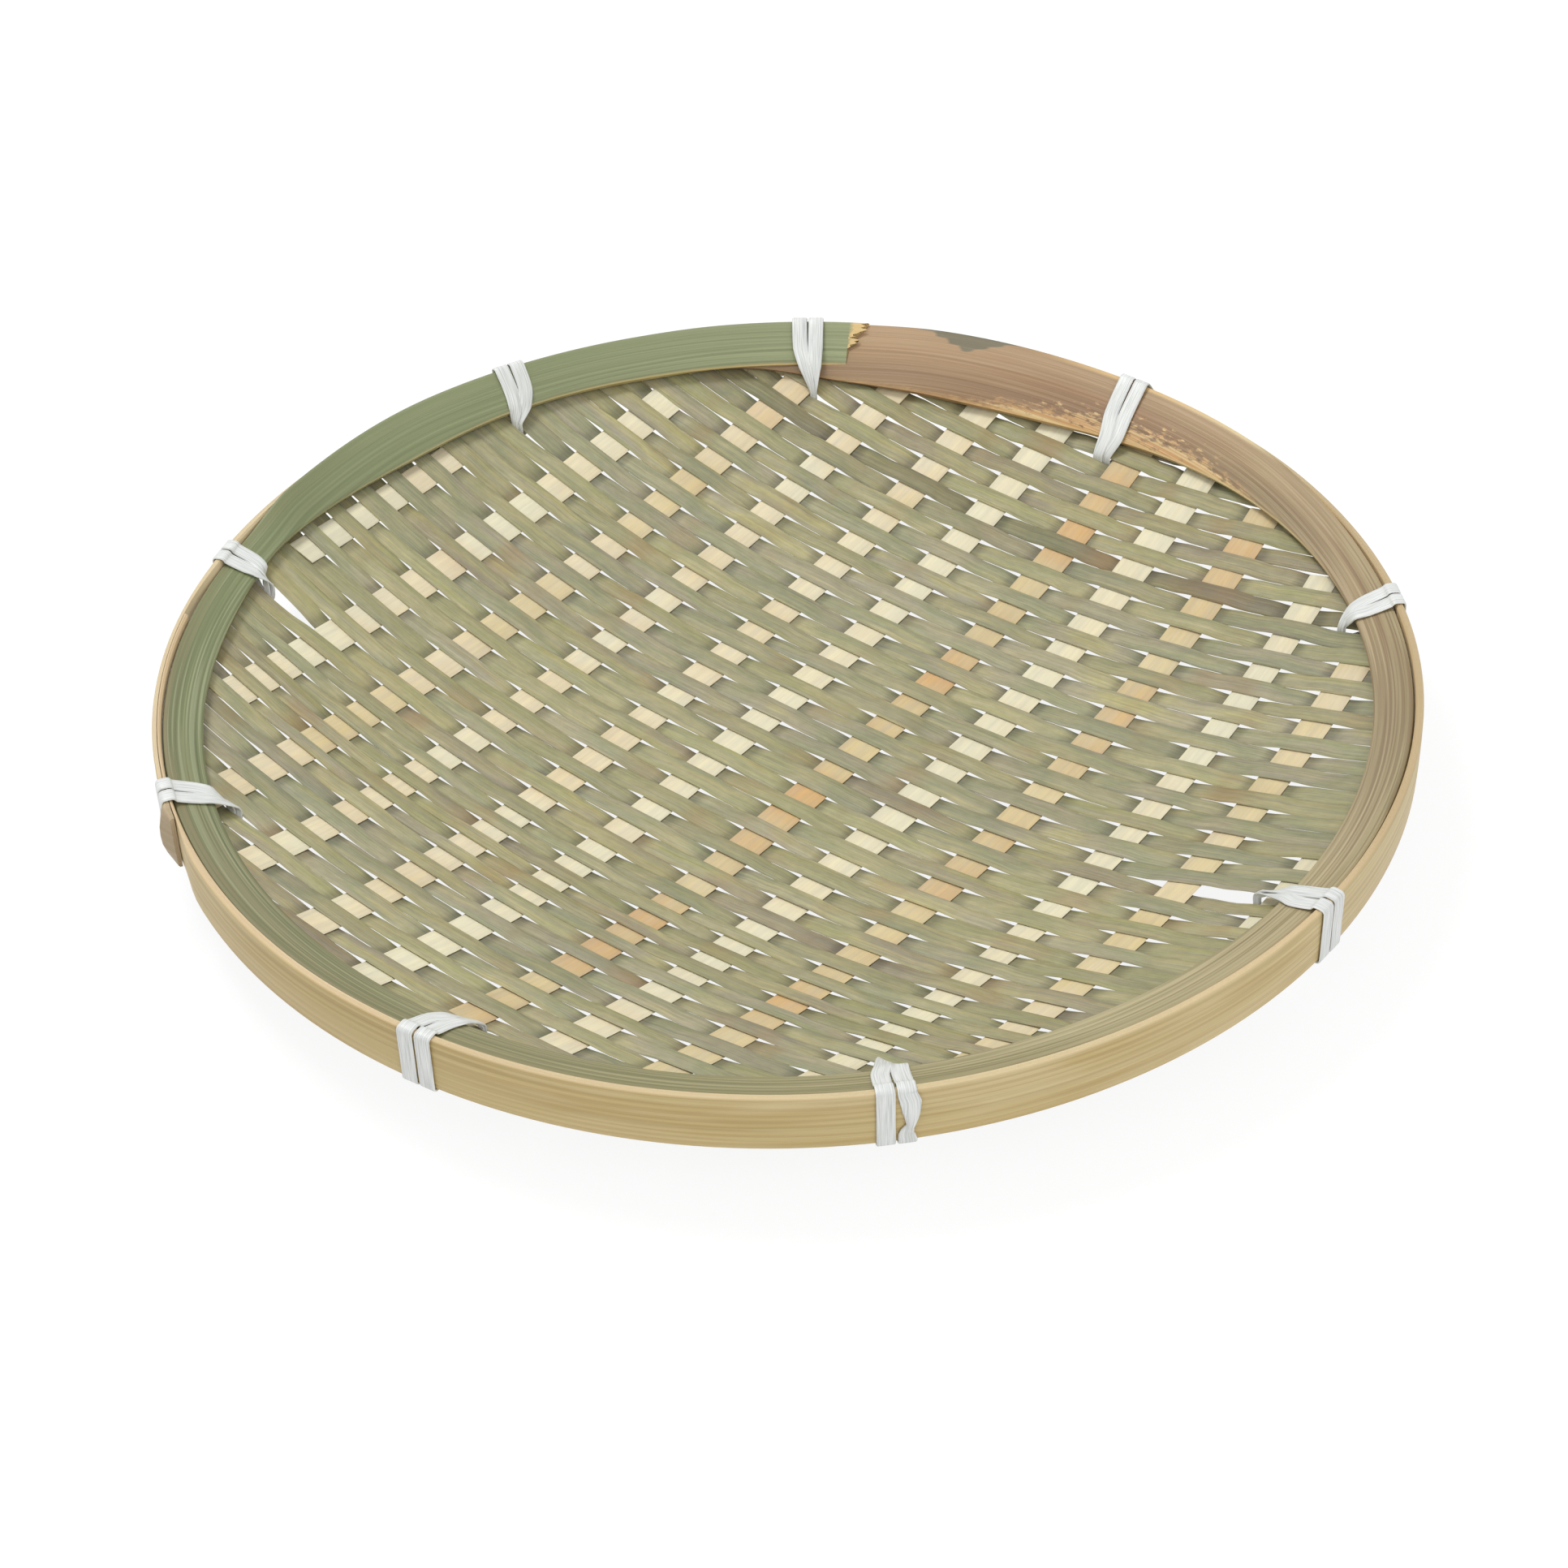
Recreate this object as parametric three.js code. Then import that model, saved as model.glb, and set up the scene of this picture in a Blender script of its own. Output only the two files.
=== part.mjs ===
// Round bamboo tray: a dished plain-weave mat clamped between two bent hoops by nine strap ties.
// Millimetres, +Z up. The rim's axis is Z; X runs to the right of the viewer and Y away from them.
import * as THREE from 'three';

// Outer hoop, a bamboo strip bent on edge whose two shaved ends lap over each other
const outerDiameter = 260;
const outerHoopHeight = 12.4;
const outerHoopThickness = 1.7;
const outerPlyThickness = 0.75;
const outerLapFrom = 170;
const outerLapSpan = 33;
const outerFlapLift = 0.4;
const outerFlapSwell = 2;
const outerFlapSpan = 5;

// Inner hoop, a strip that lies on the mat with its skin turned up to the hollow
const innerHoopWidth = 7.6;
const innerHoopThickness = 1.3;
const innerPlyThickness = 0.7;
const innerLapFrom = 96;
const innerLapSpan = 15;
const innerWideBack = { at: 63, reach: 26, extra: 6.8 };
const innerWideFront = { at: -60, reach: 20, extra: 1 };
const innerRide = { from: 46, full: 66, fading: 138, to: 156, over: 1.7 };

// Mat, a dish with a flat belly that the tray stands on
const matSag = 17.05;
const matHeightAtRim = 6.05;
const bellyRadius = 28;
const warpDirection = THREE.MathUtils.degToRad(51);

// Warps, the wide pale splints; fan and barrel are shares of their place, reached at the mat's edge
const warpCount = 12;
const warpWidth = 7;
const warpThickness = 0.5;
const warpEdgeMargin = 12;
const warpWander = [0, -0.5, -0.3, 0.5, -1.7, -1.2, -2.7, -1.3, -1.8, -3.6, -1.6, -2.4];
const warpLean = 0.006;
const warpFan = -0.0243;
const warpBarrel = -0.0882;

// Wefts, the narrow green splints, two cut from one splint that stays whole at one end;
// bow is how far they curve sideways at the mat's edge
const weftCount = 56;
const weftThickness = 0.5;
const weftFirstMargin = 6.4;
const weftLastMargin = 4.9;
const weftSlit = 0.6;
const tightness = 0.28;
const tightPlace = -62;
const tightReach = 19;
const weftLean = 0.022;
const weftFan = -0.0153;
const weftBow = 3.27;
const weftBowFan = -0.0212;
const weftJoinLength = 2.5;
const weftRise = 2;
const weftLead = 0.4;

// Ties, a plastic strap wound twice round the rim and through the mat
const tieAngles = [118.8, 86.4, 48.6, 6.3, -39.5, -82.7, -121.4, -163.2, 159.5];
const strapWidth = 3.3;
const strapThickness = 0.5;
const strapPitch = 3.9;
const strapBunchWidth = 1.1;
const strapBunchThickness = 1;
const strapBunchPitch = 1.65;
const strapEdgeRoom = 0.25;
const strapPushReach = 8;
const strapGapes = [1, 1, 1, 1, 2, 1, 1, 1, 1.6];

// Clearance between pieces that touch
const seatGap = 0.3;
const rimGap = 0.5;
const hoopStep = 5;

const outerRadius = outerDiameter / 2;
const outerHoopInside = outerRadius - outerHoopThickness;
const matEdgeRadius = outerHoopInside - rimGap;
const innerHoopOutside = matEdgeRadius - 0.2;
const innerHoopInside = innerHoopOutside - innerHoopWidth * Math.cos(THREE.MathUtils.degToRad(21));
const crossingLift = (warpThickness + weftThickness) / 2 + seatGap;
const matHalfThickness = crossingLift + weftThickness / 2;

// Height of the mat's middle surface at a distance from the axis
function dish(radius) {
  const climb = Math.max(0, radius - bellyRadius) / (innerHoopInside - bellyRadius);
  return matHeightAtRim - matSag + matSag * climb * climb;
}

function smoothStep(from, to, value) {
  return THREE.MathUtils.smoothstep(value, from, to);
}

// A closed solid from a row of equal sections, with a flat cap on each end
function sweep(sections) {
  const corners = sections[0].length;
  const positions = [];
  const index = [];
  sections.forEach((section) => section.forEach((point) => positions.push(point.x, point.y, point.z)));
  for (let i = 0; i + 1 < sections.length; i++) {
    for (let c = 0; c < corners; c++) {
      const a = i * corners + c;
      const b = i * corners + ((c + 1) % corners);
      index.push(a, b, b + corners);
      index.push(a, b + corners, a + corners);
    }
  }
  const last = (sections.length - 1) * corners;
  for (let c = 1; c + 1 < corners; c++) {
    index.push(0, c + 1, c);
    index.push(last, last + c, last + c + 1);
  }
  const geometry = new THREE.BufferGeometry();
  geometry.setAttribute('position', new THREE.Float32BufferAttribute(positions, 3));
  geometry.setIndex(signedVolume(positions, index) < 0 ? index.reverse() : index);
  geometry.computeVertexNormals();
  return geometry;
}

function signedVolume(positions, index) {
  const corner = (n) => new THREE.Vector3().fromArray(positions, index[n] * 3);
  let volume = 0;
  for (let n = 0; n < index.length; n += 3) {
    volume += corner(n).dot(corner(n + 1).cross(corner(n + 2)));
  }
  return volume / 6;
}

function piece(name, geometry, color, roughness) {
  const material = new THREE.MeshStandardMaterial({ color, roughness, metalness: 0 });
  const mesh = new THREE.Mesh(geometry, material);
  mesh.name = name;
  return mesh;
}

function numbered(stem, i) {
  return `${stem}_${String(i + 1).padStart(2, '0')}`;
}

// Hoops: a strip swept round the axis, its section given as radius and height at each angle
function hoopStrip(sectionAt, from, to) {
  const steps = Math.round(Math.abs(to - from) / hoopStep);
  const sections = [];
  for (let i = 0; i <= steps; i++) {
    const degrees = from + ((to - from) * i) / steps;
    const angle = THREE.MathUtils.degToRad(degrees);
    sections.push(
      sectionAt(degrees).map(
        ([radius, height]) => new THREE.Vector3(radius * Math.cos(angle), radius * Math.sin(angle), height),
      ),
    );
  }
  return sweep(sections);
}

// The strip starts under its own far end, so its first stretch is thinned from outside
function outerHoopFaces(degrees) {
  const lapEnd = outerLapFrom + outerLapSpan;
  const under = 1 - smoothStep(lapEnd - 360, lapEnd - 354, degrees);
  const over = smoothStep(outerLapFrom - 10, outerLapFrom, degrees);
  const flap = smoothStep(lapEnd - outerFlapSpan, lapEnd, degrees);
  const thinned = outerHoopThickness - outerPlyThickness;
  const proud = 2 * outerPlyThickness + seatGap - outerHoopThickness;
  const inside = outerHoopInside + over * (outerPlyThickness + seatGap) + flap * outerFlapLift;
  const outside = outerRadius - under * thinned + over * proud;
  return { inside, outside: outside + flap * (outerFlapLift + outerFlapSwell) };
}

function outerHoopSection(degrees) {
  const { inside, outside } = outerHoopFaces(degrees);
  return [
    [inside, 0],
    [outside, 0],
    [outside, outerHoopHeight],
    [inside, outerHoopHeight],
  ];
}

// Radius of the outer hoop's outermost face where a tie goes round it
function outerFaceAt(degrees) {
  const turned = degrees < outerLapFrom - 360 + outerLapSpan + 6 ? degrees + 360 : degrees;
  return Math.max(outerHoopFaces(turned).outside, outerRadius);
}

function bump(shape, degrees) {
  return shape.extra * Math.exp(-(((degrees - shape.at) / shape.reach) ** 2));
}

// At the back the inner strip's upper edge first climbs past the outer hoop's top, then lies over it
function rideAt(degrees) {
  const turned = degrees < -180 ? degrees + 360 : degrees;
  const share = Math.min(
    smoothStep(innerRide.from, innerRide.full, turned),
    1 - smoothStep(innerRide.fading, innerRide.to, turned),
  );
  return { climb: smoothStep(0, 0.6, share), over: innerRide.over * smoothStep(0.5, 1, share) };
}

// The inner strip runs clockwise from its wide end, and its narrow end lies on top of the wide one
function innerHoopSection(degrees) {
  const narrowEnd = innerLapFrom - 360;
  const over = 1 - smoothStep(narrowEnd, narrowEnd + 9, degrees);
  const under = smoothStep(innerLapFrom - innerLapSpan - 9, innerLapFrom - innerLapSpan, degrees);
  const raise = over * (innerPlyThickness + seatGap);
  const thickness = innerHoopThickness + (innerPlyThickness - innerHoopThickness) * Math.max(over, under);
  const edge = innerHoopInside - bump(innerWideBack, degrees) - bump(innerWideFront, degrees);
  const low = new THREE.Vector2(edge, dish(edge) + matHalfThickness + seatGap);
  const high = new THREE.Vector2(innerHoopOutside, dish(innerHoopOutside) + matHalfThickness + seatGap);
  const ride = rideAt(degrees);
  high.x += ride.over;
  high.y += ride.climb * (outerHoopHeight + innerRide.over * 0.6 - high.y);
  const run = high.clone().sub(low).normalize();
  const out = new THREE.Vector2(-run.y, run.x);
  const lift = (point, height) => point.clone().addScaledVector(out, height).toArray();
  return [lift(low, raise), lift(high, raise), lift(high, raise + thickness), lift(low, raise + thickness)];
}

// The inner hoop's upper ply where a tie goes over it
function innerTopAt(degrees) {
  const start = innerLapFrom - innerLapSpan;
  const turned = degrees > start ? degrees - 360 : degrees;
  const [, , high, low] = innerHoopSection(turned);
  const wide = innerHoopSection(Math.min(degrees, innerLapFrom))[3];
  return { high: new THREE.Vector2(...high), low: new THREE.Vector2(Math.min(low[0], wide[0]), low[1]) };
}

// Mat layout, in its own frame: x across the wefts, y along them
const warpPitch = (2 * (matEdgeRadius - warpEdgeMargin)) / (warpCount - 1);
const warpPlaces = Array.from(
  { length: warpCount },
  (_, k) => matEdgeRadius - warpEdgeMargin - k * warpPitch + warpWander[k % warpWander.length],
);

// Wefts are beaten closer together round the tight place
const weftFirst = weftFirstMargin - matEdgeRadius;
const weftSpan = matEdgeRadius - weftLastMargin - weftFirst;
const weftShares = Array.from({ length: weftCount - 1 }, (_, i) => {
  const middle = weftFirst + (weftSpan * (i + 0.5)) / (weftCount - 1);
  return 1 - tightness * Math.exp(-(((middle - tightPlace) / tightReach) ** 2));
});
const allShares = weftShares.reduce((sum, share) => sum + share, 0);
const weftPlaces = [weftFirst];
weftShares.forEach((share, i) => weftPlaces.push(weftPlaces[i] + (share / allShares) * weftSpan));

const weftWidths = weftPlaces.map((x, i) => {
  const before = x - (weftPlaces[i - 1] ?? -Infinity);
  const after = (weftPlaces[i + 1] ?? Infinity) - x;
  return Math.min(before, after) - weftSlit;
});

// Where a tie's strap passes between two wefts, those two and their neighbours lean aside
const strapHoles = [];
const pushShares = [1, 0.55, 0.2];

function weftLine(i, y) {
  const x = weftPlaces[i];
  const along = y / matEdgeRadius;
  let place = x + weftLean * y + weftFan * x * along + (weftBow + weftBowFan * x) * along * along;
  strapHoles.forEach((hole) => {
    const share = pushShares[Math.floor(Math.abs(i - hole.weft - 0.5))] ?? 0;
    const side = i > hole.weft ? 1 : -1;
    place += side * share * hole.push * Math.exp(-(((y - hole.y) / hole.reach) ** 2));
  });
  return place;
}

function warpLine(k, x) {
  const y = warpPlaces[k];
  const along = x / matEdgeRadius;
  return y + warpLean * x + warpFan * y * along + warpBarrel * y * along * along;
}

function crossing(i, k) {
  let y = warpPlaces[k];
  for (let round = 0; round < 4; round++) {
    y = warpLine(k, weftLine(i, y));
  }
  return y;
}

// Distance along a weft to the rim, kept within the mat's edge at its outer corner
function ownReach(i, side) {
  let y = (side * matEdgeRadius) / 2;
  for (let round = 0; round < 6; round++) {
    const corner = Math.abs(weftLine(i, y)) + weftWidths[i] / 2;
    y = side * Math.sqrt(Math.max(1, matEdgeRadius ** 2 - corner ** 2));
  }
  return y;
}

function twin(i) {
  return i % 2 ? i - 1 : i + 1;
}

function weftReach(i, side) {
  return side > 0 ? Math.min(ownReach(i, side), ownReach(twin(i), side)) : ownReach(i, side);
}

function clears(i, k) {
  const y = crossing(i, k);
  const end = warpWidth / 2 + weftLead + weftRise + weftJoinLength;
  return Math.abs(y) + end < Math.abs(weftReach(i, Math.sign(y)));
}

// Joined wefts meet the same warps near their joined end
function crosses(i, k) {
  return clears(i, k) && (warpPlaces[k] < 0 || clears(twin(i), k));
}

function goesOver(i, k) {
  return (i + k) % 2 === 1;
}

// Four corners of a splint's section: two places in plan, a lift from the mat's middle, a thickness
function splintSection(left, right, lift, thickness) {
  const at = ([x, y], height) => new THREE.Vector3(x, y, dish(Math.hypot(x, y)) + lift + height);
  const half = thickness / 2;
  return [at(left, -half), at(right, -half), at(right, half), at(left, half)];
}

// Stations of one weft from its free end to its joined end, each a place along it and a lift
function weftStations(i) {
  const half = warpWidth / 2 + weftLead;
  const stations = [{ y: weftReach(i, -1), lift: 0 }];
  warpPlaces
    .map((_, k) => k)
    .filter((k) => crosses(i, k))
    .map((k) => ({ y: crossing(i, k), lift: goesOver(i, k) ? crossingLift : -crossingLift }))
    .sort((a, b) => a.y - b.y)
    .forEach(({ y, lift }) => stations.push({ y: y - half, lift }, { y: y + half, lift }));
  stations.push({ y: weftReach(i, 1) - weftJoinLength, lift: 0 });
  strapHoles
    .filter((hole) => Math.abs(i - hole.weft - 0.5) < pushShares.length)
    .forEach((hole) => [-hole.half, hole.half].forEach((offset) => addStation(stations, hole.y + offset)));
  return stations;
}

function addStation(stations, y) {
  const next = stations.findIndex((station) => station.y > y);
  if (next < 1) {
    return;
  }
  const before = stations[next - 1];
  const after = stations[next];
  if (y - before.y < 0.3 || after.y - y < 0.3) {
    return;
  }
  const share = (y - before.y) / (after.y - before.y);
  stations.splice(next, 0, { y, lift: before.lift + (after.lift - before.lift) * share });
}

// Two wefts as one solid: up the first, round the whole end under the rim, back down the second
function weftPair(i) {
  const half = (n) => weftWidths[n] / 2;
  const edge = (n, side, y) => [weftLine(n, y) + side * half(n), y];
  const leg = (n, outer) =>
    weftStations(n).map(({ y, lift }) =>
      splintSection(edge(n, outer, y), edge(n, -outer, y), lift, weftThickness),
    );
  const joinY = weftReach(i, 1) - weftJoinLength;
  const slitEnd = joinY + 0.5;
  const slitMiddle = (edge(i, 1, slitEnd)[0] + edge(i + 1, -1, slitEnd)[0]) / 2;
  const turn = [
    splintSection(edge(i, -1, ownReach(i, 1)), [slitMiddle - 0.1, slitEnd], 0, weftThickness),
    splintSection(edge(i + 1, 1, ownReach(i + 1, 1)), [slitMiddle + 0.1, slitEnd], 0, weftThickness),
  ];
  return sweep([...leg(i, -1), ...turn, ...leg(i + 1, 1).reverse()]);
}

// A warp lies along the mat's middle surface and ends just past its last weft on each side
function warp(k) {
  const met = weftPlaces.map((_, i) => i).filter((i) => crosses(i, k));
  const first = met[0];
  const last = met[met.length - 1];
  const places = [weftLine(first, crossing(first, k)) - weftWidths[first] / 2];
  met.slice(2, -2).forEach((i, n) => {
    if (n % 3 === 0) {
      places.push(weftLine(i, crossing(i, k)));
    }
  });
  places.push(weftLine(last, crossing(last, k)) + weftWidths[last] / 2);
  const half = warpWidth / 2;
  return sweep(
    places.map((x) => {
      const y = warpLine(k, x);
      return splintSection([x, y - half], [x, y + half], 0, warpThickness);
    }),
  );
}

// The slot between two wefts nearest to the place under the inner hoop where a strap goes through
function findHole(degrees, tie) {
  const angle = THREE.MathUtils.degToRad(degrees) - warpDirection;
  const bunchHalf = (strapBunchPitch + strapBunchWidth) / 2;
  const alongRim = Math.abs(Math.sin(angle)) * bunchHalf;
  const acrossRim = (Math.abs(Math.cos(angle)) * strapBunchThickness) / 2;
  const radius = innerTopAt(degrees).low.x - seatGap - strapEdgeRoom - alongRim - acrossRim;
  const wanted = new THREE.Vector2(radius * Math.cos(angle), radius * Math.sin(angle));
  const clear = warpWidth / 2 + seatGap + bunchHalf;
  let best = null;
  for (let i = 0; i + 1 < weftPlaces.length; i++) {
    for (let y = wanted.y - 8; y <= wanted.y + 8; y += 0.25) {
      const slot = (weftLine(i, y) + weftWidths[i] / 2 + weftLine(i + 1, y) - weftWidths[i + 1] / 2) / 2;
      const free = warpPlaces.every((_, k) => Math.abs(warpLine(k, slot) - y) > clear);
      const away = Math.hypot(slot - wanted.x, y - wanted.y);
      const outside = Math.hypot(slot, y) > radius + 0.05;
      if (free && !outside && (!best || away < best.away)) {
        best = { weft: i, x: slot, y, away, half: bunchHalf + 0.4 };
      }
    }
  }
  const widened = strapBunchThickness / 2 + seatGap - weftSlit / 2 + 0.1;
  best.reach = strapPushReach * strapGapes[tie % strapGapes.length];
  best.push = (strapGapes[tie % strapGapes.length] * widened) / Math.exp(-((best.half / best.reach) ** 2));
  return best;
}

tieAngles.map(findHole).forEach((hole) => strapHoles.push(hole));

// One strap in the frame of its tie: x outward, y round the rim, z up
function strapStations(degrees, hole) {
  const angle = THREE.MathUtils.degToRad(degrees) - warpDirection;
  const place = new THREE.Vector2(hole.x, hole.y).rotateAround(new THREE.Vector2(), -angle);
  const slot = new THREE.Vector2(0, 1).rotateAround(new THREE.Vector2(), -angle);
  if (slot.y < 0) {
    slot.negate();
  }
  const turning = slot.x < 0 ? -1 : 1;
  slot.multiplyScalar(turning);
  const half = strapThickness / 2;
  const stand = seatGap + half;
  const outside = outerFaceAt(degrees) + stand;
  const top = outerHoopHeight + stand;
  const { high, low } = innerTopAt(degrees);
  const fall = high.clone().sub(low).normalize();
  const away = new THREE.Vector2(-fall.y, fall.x).multiplyScalar(stand + 0.05);
  const upper = high.clone().add(away);
  const lower = low.clone().add(away);
  const middle = upper.clone().lerp(lower, 0.6);
  const matHeight = dish(place.length());
  const below = matHeight - matHalfThickness - seatGap - half;
  const stubEnd = outerHoopInside - seatGap - 0.15;
  const stubLength = strapWidth;
  const bunch = { width: strapBunchWidth, thickness: strapBunchThickness };
  const stations = [];
  const add = (x, y, z, width = strapWidth, thickness = strapThickness, across = [0, 1]) =>
    stations.push({ point: new THREE.Vector3(x, y, z), width, thickness, across });

  const first = (-turning * strapPitch) / 2;
  const second = (turning * strapPitch) / 2;
  add(stubEnd, first, 3.6, 2.6);
  add(stubEnd - stubLength, first, 3.6, 2.6);
  add(stubEnd - stubLength - 0.9, first, 2.7, 2.6);
  add(stubEnd - stubLength + 0.1, first, 1.5, 2.6);
  add(outerHoopInside - 0.9, first, -0.1, 3);
  [first, second].forEach((side, turn) => {
    add((outerHoopInside + outerRadius) / 2, side, -stand);
    add(outside - 0.35, side, -stand + 0.1);
    add(outside, side, 0.5);
    add(outside, side, outerHoopHeight / 2);
    add(outside, side, outerHoopHeight - 0.4);
    add(outside - 0.4, side, top - 0.15);
    if (high.y < outerHoopHeight) {
      add(outerHoopInside + 0.1, side, top);
      add(outerHoopInside - 0.5, side, top - 0.2);
    } else {
      add(high.x + 1.1, side, high.y - 0.15);
      add(high.x + 0.5, side, high.y + 0.5);
    }
    add(upper.x - 0.3, side, upper.y + 0.05);
    add(middle.x, side * 0.9, middle.y, strapWidth * 0.8);
    const sign = turn ? 1 : -1;
    const x = place.x + (sign * slot.x * strapBunchPitch) / 2;
    const y = place.y + (sign * slot.y * strapBunchPitch) / 2;
    const bunchSpread = strapPitch * 0.4 + Math.abs(slot.y) * strapBunchPitch * 0.6;
    const edgeWidth = Math.min(1.8, bunchSpread - strapBunchPitch + strapBunchWidth);
    add(lower.x - 0.35, side + (y - side) * 0.6, lower.y, edgeWidth);
    const across = [slot.x, slot.y];
    add(x, y, matHeight + matHalfThickness + 0.2, bunch.width, bunch.thickness, across);
    add(x, y, matHeight - matHalfThickness - 0.2, bunch.width, bunch.thickness, across);
    if (!turn) {
      add(x + 0.5, y + 0.1 * turning, below - 1.3, 1.2, 0.8, across);
      add(place.x + 3.5, 0, below - 2.3, 1.5);
      add(place.x + 7, second * 0.8, 0.6, 2.4);
      add(outerHoopInside - 0.9, second, -0.1, 3);
    }
  });
  const last = stations[stations.length - 1].point;
  add(last.x + 1.1, last.y + 0.35 * turning, below - 0.2, 1.2, 0.8);
  add(stubEnd - stubLength - 0.6, second * 0.9, 4.7, 2);
  add(stubEnd - stubLength, second, 4.7, 2.4);
  add(stubEnd, second, 4.7, 2.4);
  return stations;
}

function strapSections(stations) {
  return stations.map(({ point, width, thickness, across }, i) => {
    const before = stations[Math.max(0, i - 1)].point;
    const after = stations[Math.min(stations.length - 1, i + 1)].point;
    const ahead = after.clone().sub(before).normalize();
    const side = new THREE.Vector3(across[0], across[1], 0);
    side.addScaledVector(ahead, -side.dot(ahead)).normalize();
    const up = new THREE.Vector3().crossVectors(ahead, side);
    const shoulder = width / 2 - Math.min(thickness, width) * 0.25;
    return [
      [width / 2, 0],
      [shoulder, thickness / 2],
      [-shoulder, thickness / 2],
      [-width / 2, 0],
      [-shoulder, -thickness / 2],
      [shoulder, -thickness / 2],
    ].map(([a, b]) => point.clone().addScaledVector(side, a).addScaledVector(up, b));
  });
}

// Least distance between stretches of one strap that are not next to each other
function leastGap(sections) {
  const rows = [];
  for (let i = 0; i + 1 < sections.length; i++) {
    for (let step = 0; step < 4; step++) {
      const points = sections[i].map((point, c) => point.clone().lerp(sections[i + 1][c], step / 4));
      rows.push({ place: i + step / 4, points });
    }
  }
  let least = Infinity;
  rows.forEach((a) =>
    rows.forEach((b) => {
      if (b.place - a.place > 4) {
        a.points.forEach((p) => b.points.forEach((q) => (least = Math.min(least, p.distanceTo(q)))));
      }
    }),
  );
  return least;
}

const tray = new THREE.Group();

const outerHoop = hoopStrip(outerHoopSection, outerLapFrom - 360, outerLapFrom + outerLapSpan);
tray.add(piece('outer_hoop', outerHoop, 0xc2aa75, 0.55));
const innerHoop = hoopStrip(innerHoopSection, innerLapFrom, innerLapFrom - 360 - innerLapSpan);
tray.add(piece('inner_hoop', innerHoop, 0x8c9a6f, 0.55));

const mat = new THREE.Group();
mat.rotation.z = warpDirection;
tray.add(mat);
warpPlaces.forEach((_, k) => mat.add(piece(numbered('warp', k), warp(k), 0xefe3bc, 0.6)));
for (let i = 0; i < weftPlaces.length; i += 2) {
  mat.add(piece(numbered('weft_pair', i / 2), weftPair(i), 0xa5a47c, 0.6));
}

let strapGap = Infinity;
tieAngles.forEach((degrees, n) => {
  const sections = strapSections(strapStations(degrees, strapHoles[n]));
  strapGap = Math.min(strapGap, leastGap(sections));
  const tie = piece(numbered('tie', n), sweep(sections), 0xe4e4ea, 0.4);
  tie.rotation.z = THREE.MathUtils.degToRad(degrees);
  tray.add(tie);
});
console.log(`least gap of a strap to itself ${strapGap.toFixed(2)} mm`);

// The belly's underside stands on the ground, and the bounding box is centred over the origin
const bounds = new THREE.Box3().setFromObject(tray, true);
const centre = bounds.getCenter(new THREE.Vector3());
tray.position.set(-centre.x, -centre.y, -bounds.min.z);

export default tray;
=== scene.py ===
import math
import random

import bmesh
import bpy
from mathutils import Matrix, Vector


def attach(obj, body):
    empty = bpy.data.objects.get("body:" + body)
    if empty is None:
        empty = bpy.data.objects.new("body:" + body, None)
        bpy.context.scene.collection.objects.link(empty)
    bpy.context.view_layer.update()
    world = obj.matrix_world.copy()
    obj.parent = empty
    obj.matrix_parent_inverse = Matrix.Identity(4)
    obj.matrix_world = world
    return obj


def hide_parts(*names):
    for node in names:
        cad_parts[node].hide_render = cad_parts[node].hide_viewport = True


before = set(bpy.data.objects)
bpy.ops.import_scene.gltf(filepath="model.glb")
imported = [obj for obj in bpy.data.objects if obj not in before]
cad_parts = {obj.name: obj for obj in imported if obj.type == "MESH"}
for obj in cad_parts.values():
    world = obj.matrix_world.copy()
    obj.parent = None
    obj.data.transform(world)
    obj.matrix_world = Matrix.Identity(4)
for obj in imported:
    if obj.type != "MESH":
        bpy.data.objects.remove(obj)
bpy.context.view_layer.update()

# Lengths are in millimetres here and become metres when a piece is finished.
# Heights count from the outer hoop's lower edge; angles are in degrees round the rim.

rim = {
    "axis": Vector((-0.18, -0.289, 12.05)),  # the rim's axis and lower edge in the frame
    "radius": 130.0,
    "seatGap": 0.3,
    "matEdge": 127.8,
    "innerOutside": 127.6,  # the inner hoop's outer edge, its width and its tilt on the mat
    "innerWidth": 7.6,
    "innerTilt": 21.0,
}

camera = {
    "target": (-1.522, -26.873, 12.05),
    "distance": 657.475,
    "elevation": 39.028,
    "roll": -1.985,
    "lens": 74.53,
}

studio = {
    "worldStrength": 0.6,
    "keyPower": 11.2,
    "keyPlace": (-0.55, 0.6, 1.35),
    "keySize": 0.55,
    "fillPower": 4.3,
    "fillPlace": (0.45, -0.95, 0.8),
    "fillSize": 1.1,
    "floorShare": 0.85,
    "floorWhite": 1.05,
    "floorSize": 6.0,
    "floorTone": 0.9,
    "floorRoughness": 0.9,
}


# Small helpers

def clamp(value, low=0.0, high=1.0):
    return max(low, min(high, value))


def smoothStep(start, end, value):
    share = clamp((value - start) / (end - start))
    return share * share * (3 - 2 * share)


def plateau(rise, fall, value):
    # 0 before the rise, 1 from its end to the start of the fall, and 0 again after that
    return min(smoothStep(*rise, value), 1 - smoothStep(*fall, value))


def bump(shape, place):
    return shape["extra"] * math.exp(-(((place - shape["at"]) / shape["reach"]) ** 2))


def mixValue(a, b, share):
    return a + (b - a) * share


def onRim(radius, degrees, height):
    angle = math.radians(degrees)
    return Vector((radius * math.cos(angle), radius * math.sin(angle), height))


def unwound(degrees):
    return degrees + 360 if degrees < -180 else degrees


def added(name, data):
    thing = bpy.data.objects.new(name, data)
    bpy.context.scene.collection.objects.link(thing)
    return thing


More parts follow.
